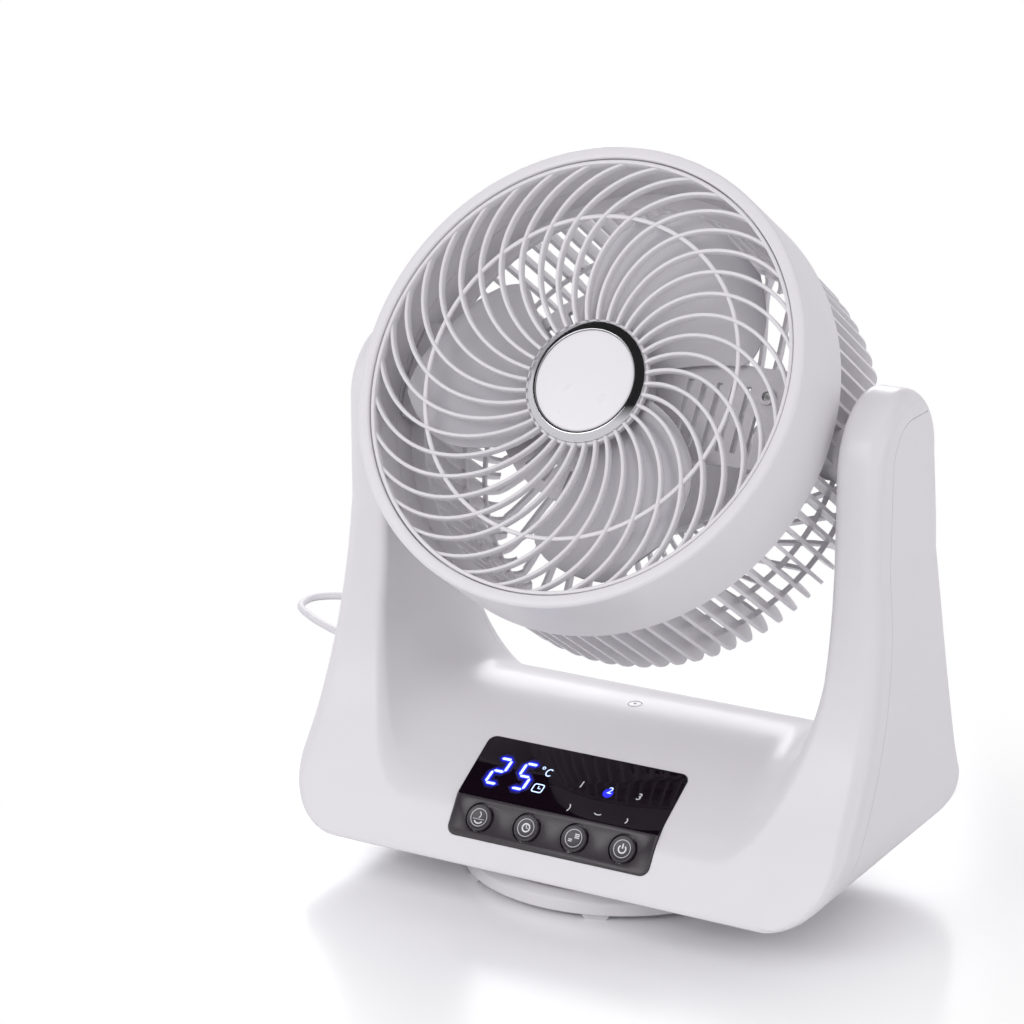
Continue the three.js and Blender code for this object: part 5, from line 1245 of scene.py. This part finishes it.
def make_impeller():
    bore, socket, wall = 4.3, 11, FAN_HUB_RADIUS - 2.5
    front, rear, inside = FAN_HUB_FRONT, FAN_HUB_REAR, FAN_HUB_FRONT + 3
    hub = rounded([(bore, rear), (socket, rear), (socket, inside), (wall, inside), (wall, rear),
                   (FAN_HUB_RADIUS, rear), (FAN_HUB_RADIUS, front), (bore, front)],
                  [0.2, 0.2, 1, 1, 0.2, 0.4, 3, 0.2], 6)
    impeller = tool(repeated(blade(), BLADE_COUNT, FIRST_BLADE_ANGLE))
    combined(impeller, "UNION", turned_head(hub, 96))
    impeller.data.transform(placing(in_head))
    finish(impeller, "impeller_moulded", "fan", "impeller", ["impeller"])


# ------------------------------------------------------------------ foot
def make_foot():
    radius, rim, under = FOOT_RADIUS, FOOT_RADIUS - 11, FOOT_TOP - 3
    corners = [(SPINDLE_RADIUS, 7), (26, 7), (29, under), (rim, under), (rim, FOOT_LOW), (radius, FOOT_LOW),
               (radius, FOOT_LOW + 6.8), (radius - 4.5, FOOT_TOP), (SPINDLE_RADIUS, FOOT_TOP)]
    profile = rounded(corners, [0.3, 1, 1, 1, 0.5, 1.2, 2.5, 2.5, 0.3], 6)
    piece("foot_moulded", turned(profile, 192), "stand", "housing", ["foot_plate"])


# ------------------------------------------------------------------ materials of the solids that stay
def dress_solids():
    slots = {part["node"]: part["material_slot"] for part in frame["record"]["subparts"]}
    for name, obj in frame["nodes"].items():
        obj.data.materials.clear()
        obj.data.materials.append(looks["pad" if name.startswith("foot_pad") else slots[name]])
        obj.data.polygons.foreach_set("use_smooth", [True] * len(obj.data.polygons))
        obj.data.set_sharp_from_angle(angle=math.radians(32))


# ------------------------------------------------------------------ studio
FILL_LOW, FILL_HIGH = 0.78, 0.8  # strength of the surroundings near the horizon and overhead
FLOOR_SIZE, FADE_START, FADE_END = 6.0, 0.12, 0.36  # metres
LAMPS = (  # name, place and target in metres, size, watts
    ("right", (2.0, -0.3, 0.9), (0, 0, 0.15), (1.0, 1.2), 3),
    ("front", (-0.9, -2.0, 1.4), (0, 0, 0.25), (1.4, 1.0), 13),
    ("behind", (-1.1, 1.7, 1.0), (0, 0, 0.1), (1.2, 0.8), 12),
)


def make_floor():
    """A pale, faintly glossy floor that fades into the white backdrop for the camera."""
    mesh = bpy.data.meshes.new("floor")
    corners = rectangle(-FLOOR_SIZE, FLOOR_SIZE, -FLOOR_SIZE, FLOOR_SIZE)
    mesh.from_pydata([(x, y, 0) for x, y in corners], [], [(0, 1, 2, 3)])
    floor = bpy.data.objects.new("floor", mesh)
    scene.collection.objects.link(floor)
    nodes = new_material("floor")
    nodes.shade(
        Base_Color=nodes.blend(nodes.noise(3, 2), (0.93, 0.93, 0.94), (0.95, 0.95, 0.96)),
        Roughness=nodes.ramp(nodes.noise(8), 0.19, 0.23), Specular_IOR_Level=0.5)
    distance = nodes.add("ShaderNodeVectorMath", {0: nodes.coordinates["Object"]}, operation="LENGTH")
    fade = nodes.ramp(distance.outputs["Value"], 0, 1, FADE_START, FADE_END, "SMOOTHSTEP")
    seen = nodes.add("ShaderNodeLightPath").outputs["Is Camera Ray"]
    share = nodes.add("ShaderNodeMath", {0: fade, 1: seen}, operation="MULTIPLY").outputs[0]
    white = nodes.add("ShaderNodeEmission", {"Color": (1, 1, 1, 1), "Strength": 1.0}).outputs[0]
    surface = nodes.chosen(share, nodes.shader.outputs[0], white)
    nodes.put(surface, nodes.tree.nodes["Material Output"].inputs["Surface"])
    mesh.materials.append(nodes.owner)


def make_world():
    """White behind the object. Its surroundings light it evenly, and its gloss shows them dark overhead."""
    nodes = Nodes(bpy.data.worlds.new("studio"))
    scene.world = nodes.owner
    height = nodes.add("ShaderNodeSeparateXYZ", {"Vector": nodes.coordinates["Generated"]}).outputs["Z"]

    def background(colour, strength):
        return nodes.add("ShaderNodeBackground", {"Color": colour, "Strength": strength}).outputs[0]

    tint = (0.985, 0.97, 1.0, 1)
    fill = background(tint, nodes.ramp(height, FILL_LOW, FILL_HIGH, 0.1, 0.75))
    gloss = background(tint, nodes.ramp(height, 0.75, 0.02, 0.28, 0.5))
    rays = nodes.add("ShaderNodeLightPath").outputs
    surface = nodes.chosen(rays["Is Glossy Ray"], fill, gloss)
    surface = nodes.chosen(rays["Is Camera Ray"], surface, background((1, 1, 1, 1), 1.0))
    nodes.put(surface, nodes.tree.nodes["World Output"].inputs["Surface"])


def make_lamp(name, place, target, size, power):
    data = bpy.data.lights.new(name, "AREA")
    data.shape, data.size, data.size_y = "RECTANGLE", *size
    data.energy = power
    lamp = bpy.data.objects.new(name, data)
    scene.collection.objects.link(lamp)
    lamp.location = place
    lamp.rotation_mode = "QUATERNION"
    lamp.rotation_quaternion = (Vector(place) - Vector(target)).to_track_quat("Z", "Y")


def make_studio():
    make_floor()
    make_world()
    for lamp in LAMPS:
        make_lamp(*lamp)
    scene.view_settings.view_transform = "Standard"


# ------------------------------------------------------------------ everything
make_camera()
looks = make_looks()
make_cord()
dress_solids()
make_yoke()
make_window()
make_panel()
make_display()
make_ring()
make_grille()
make_badge()
make_cage()
make_impeller()
make_foot()
make_studio()
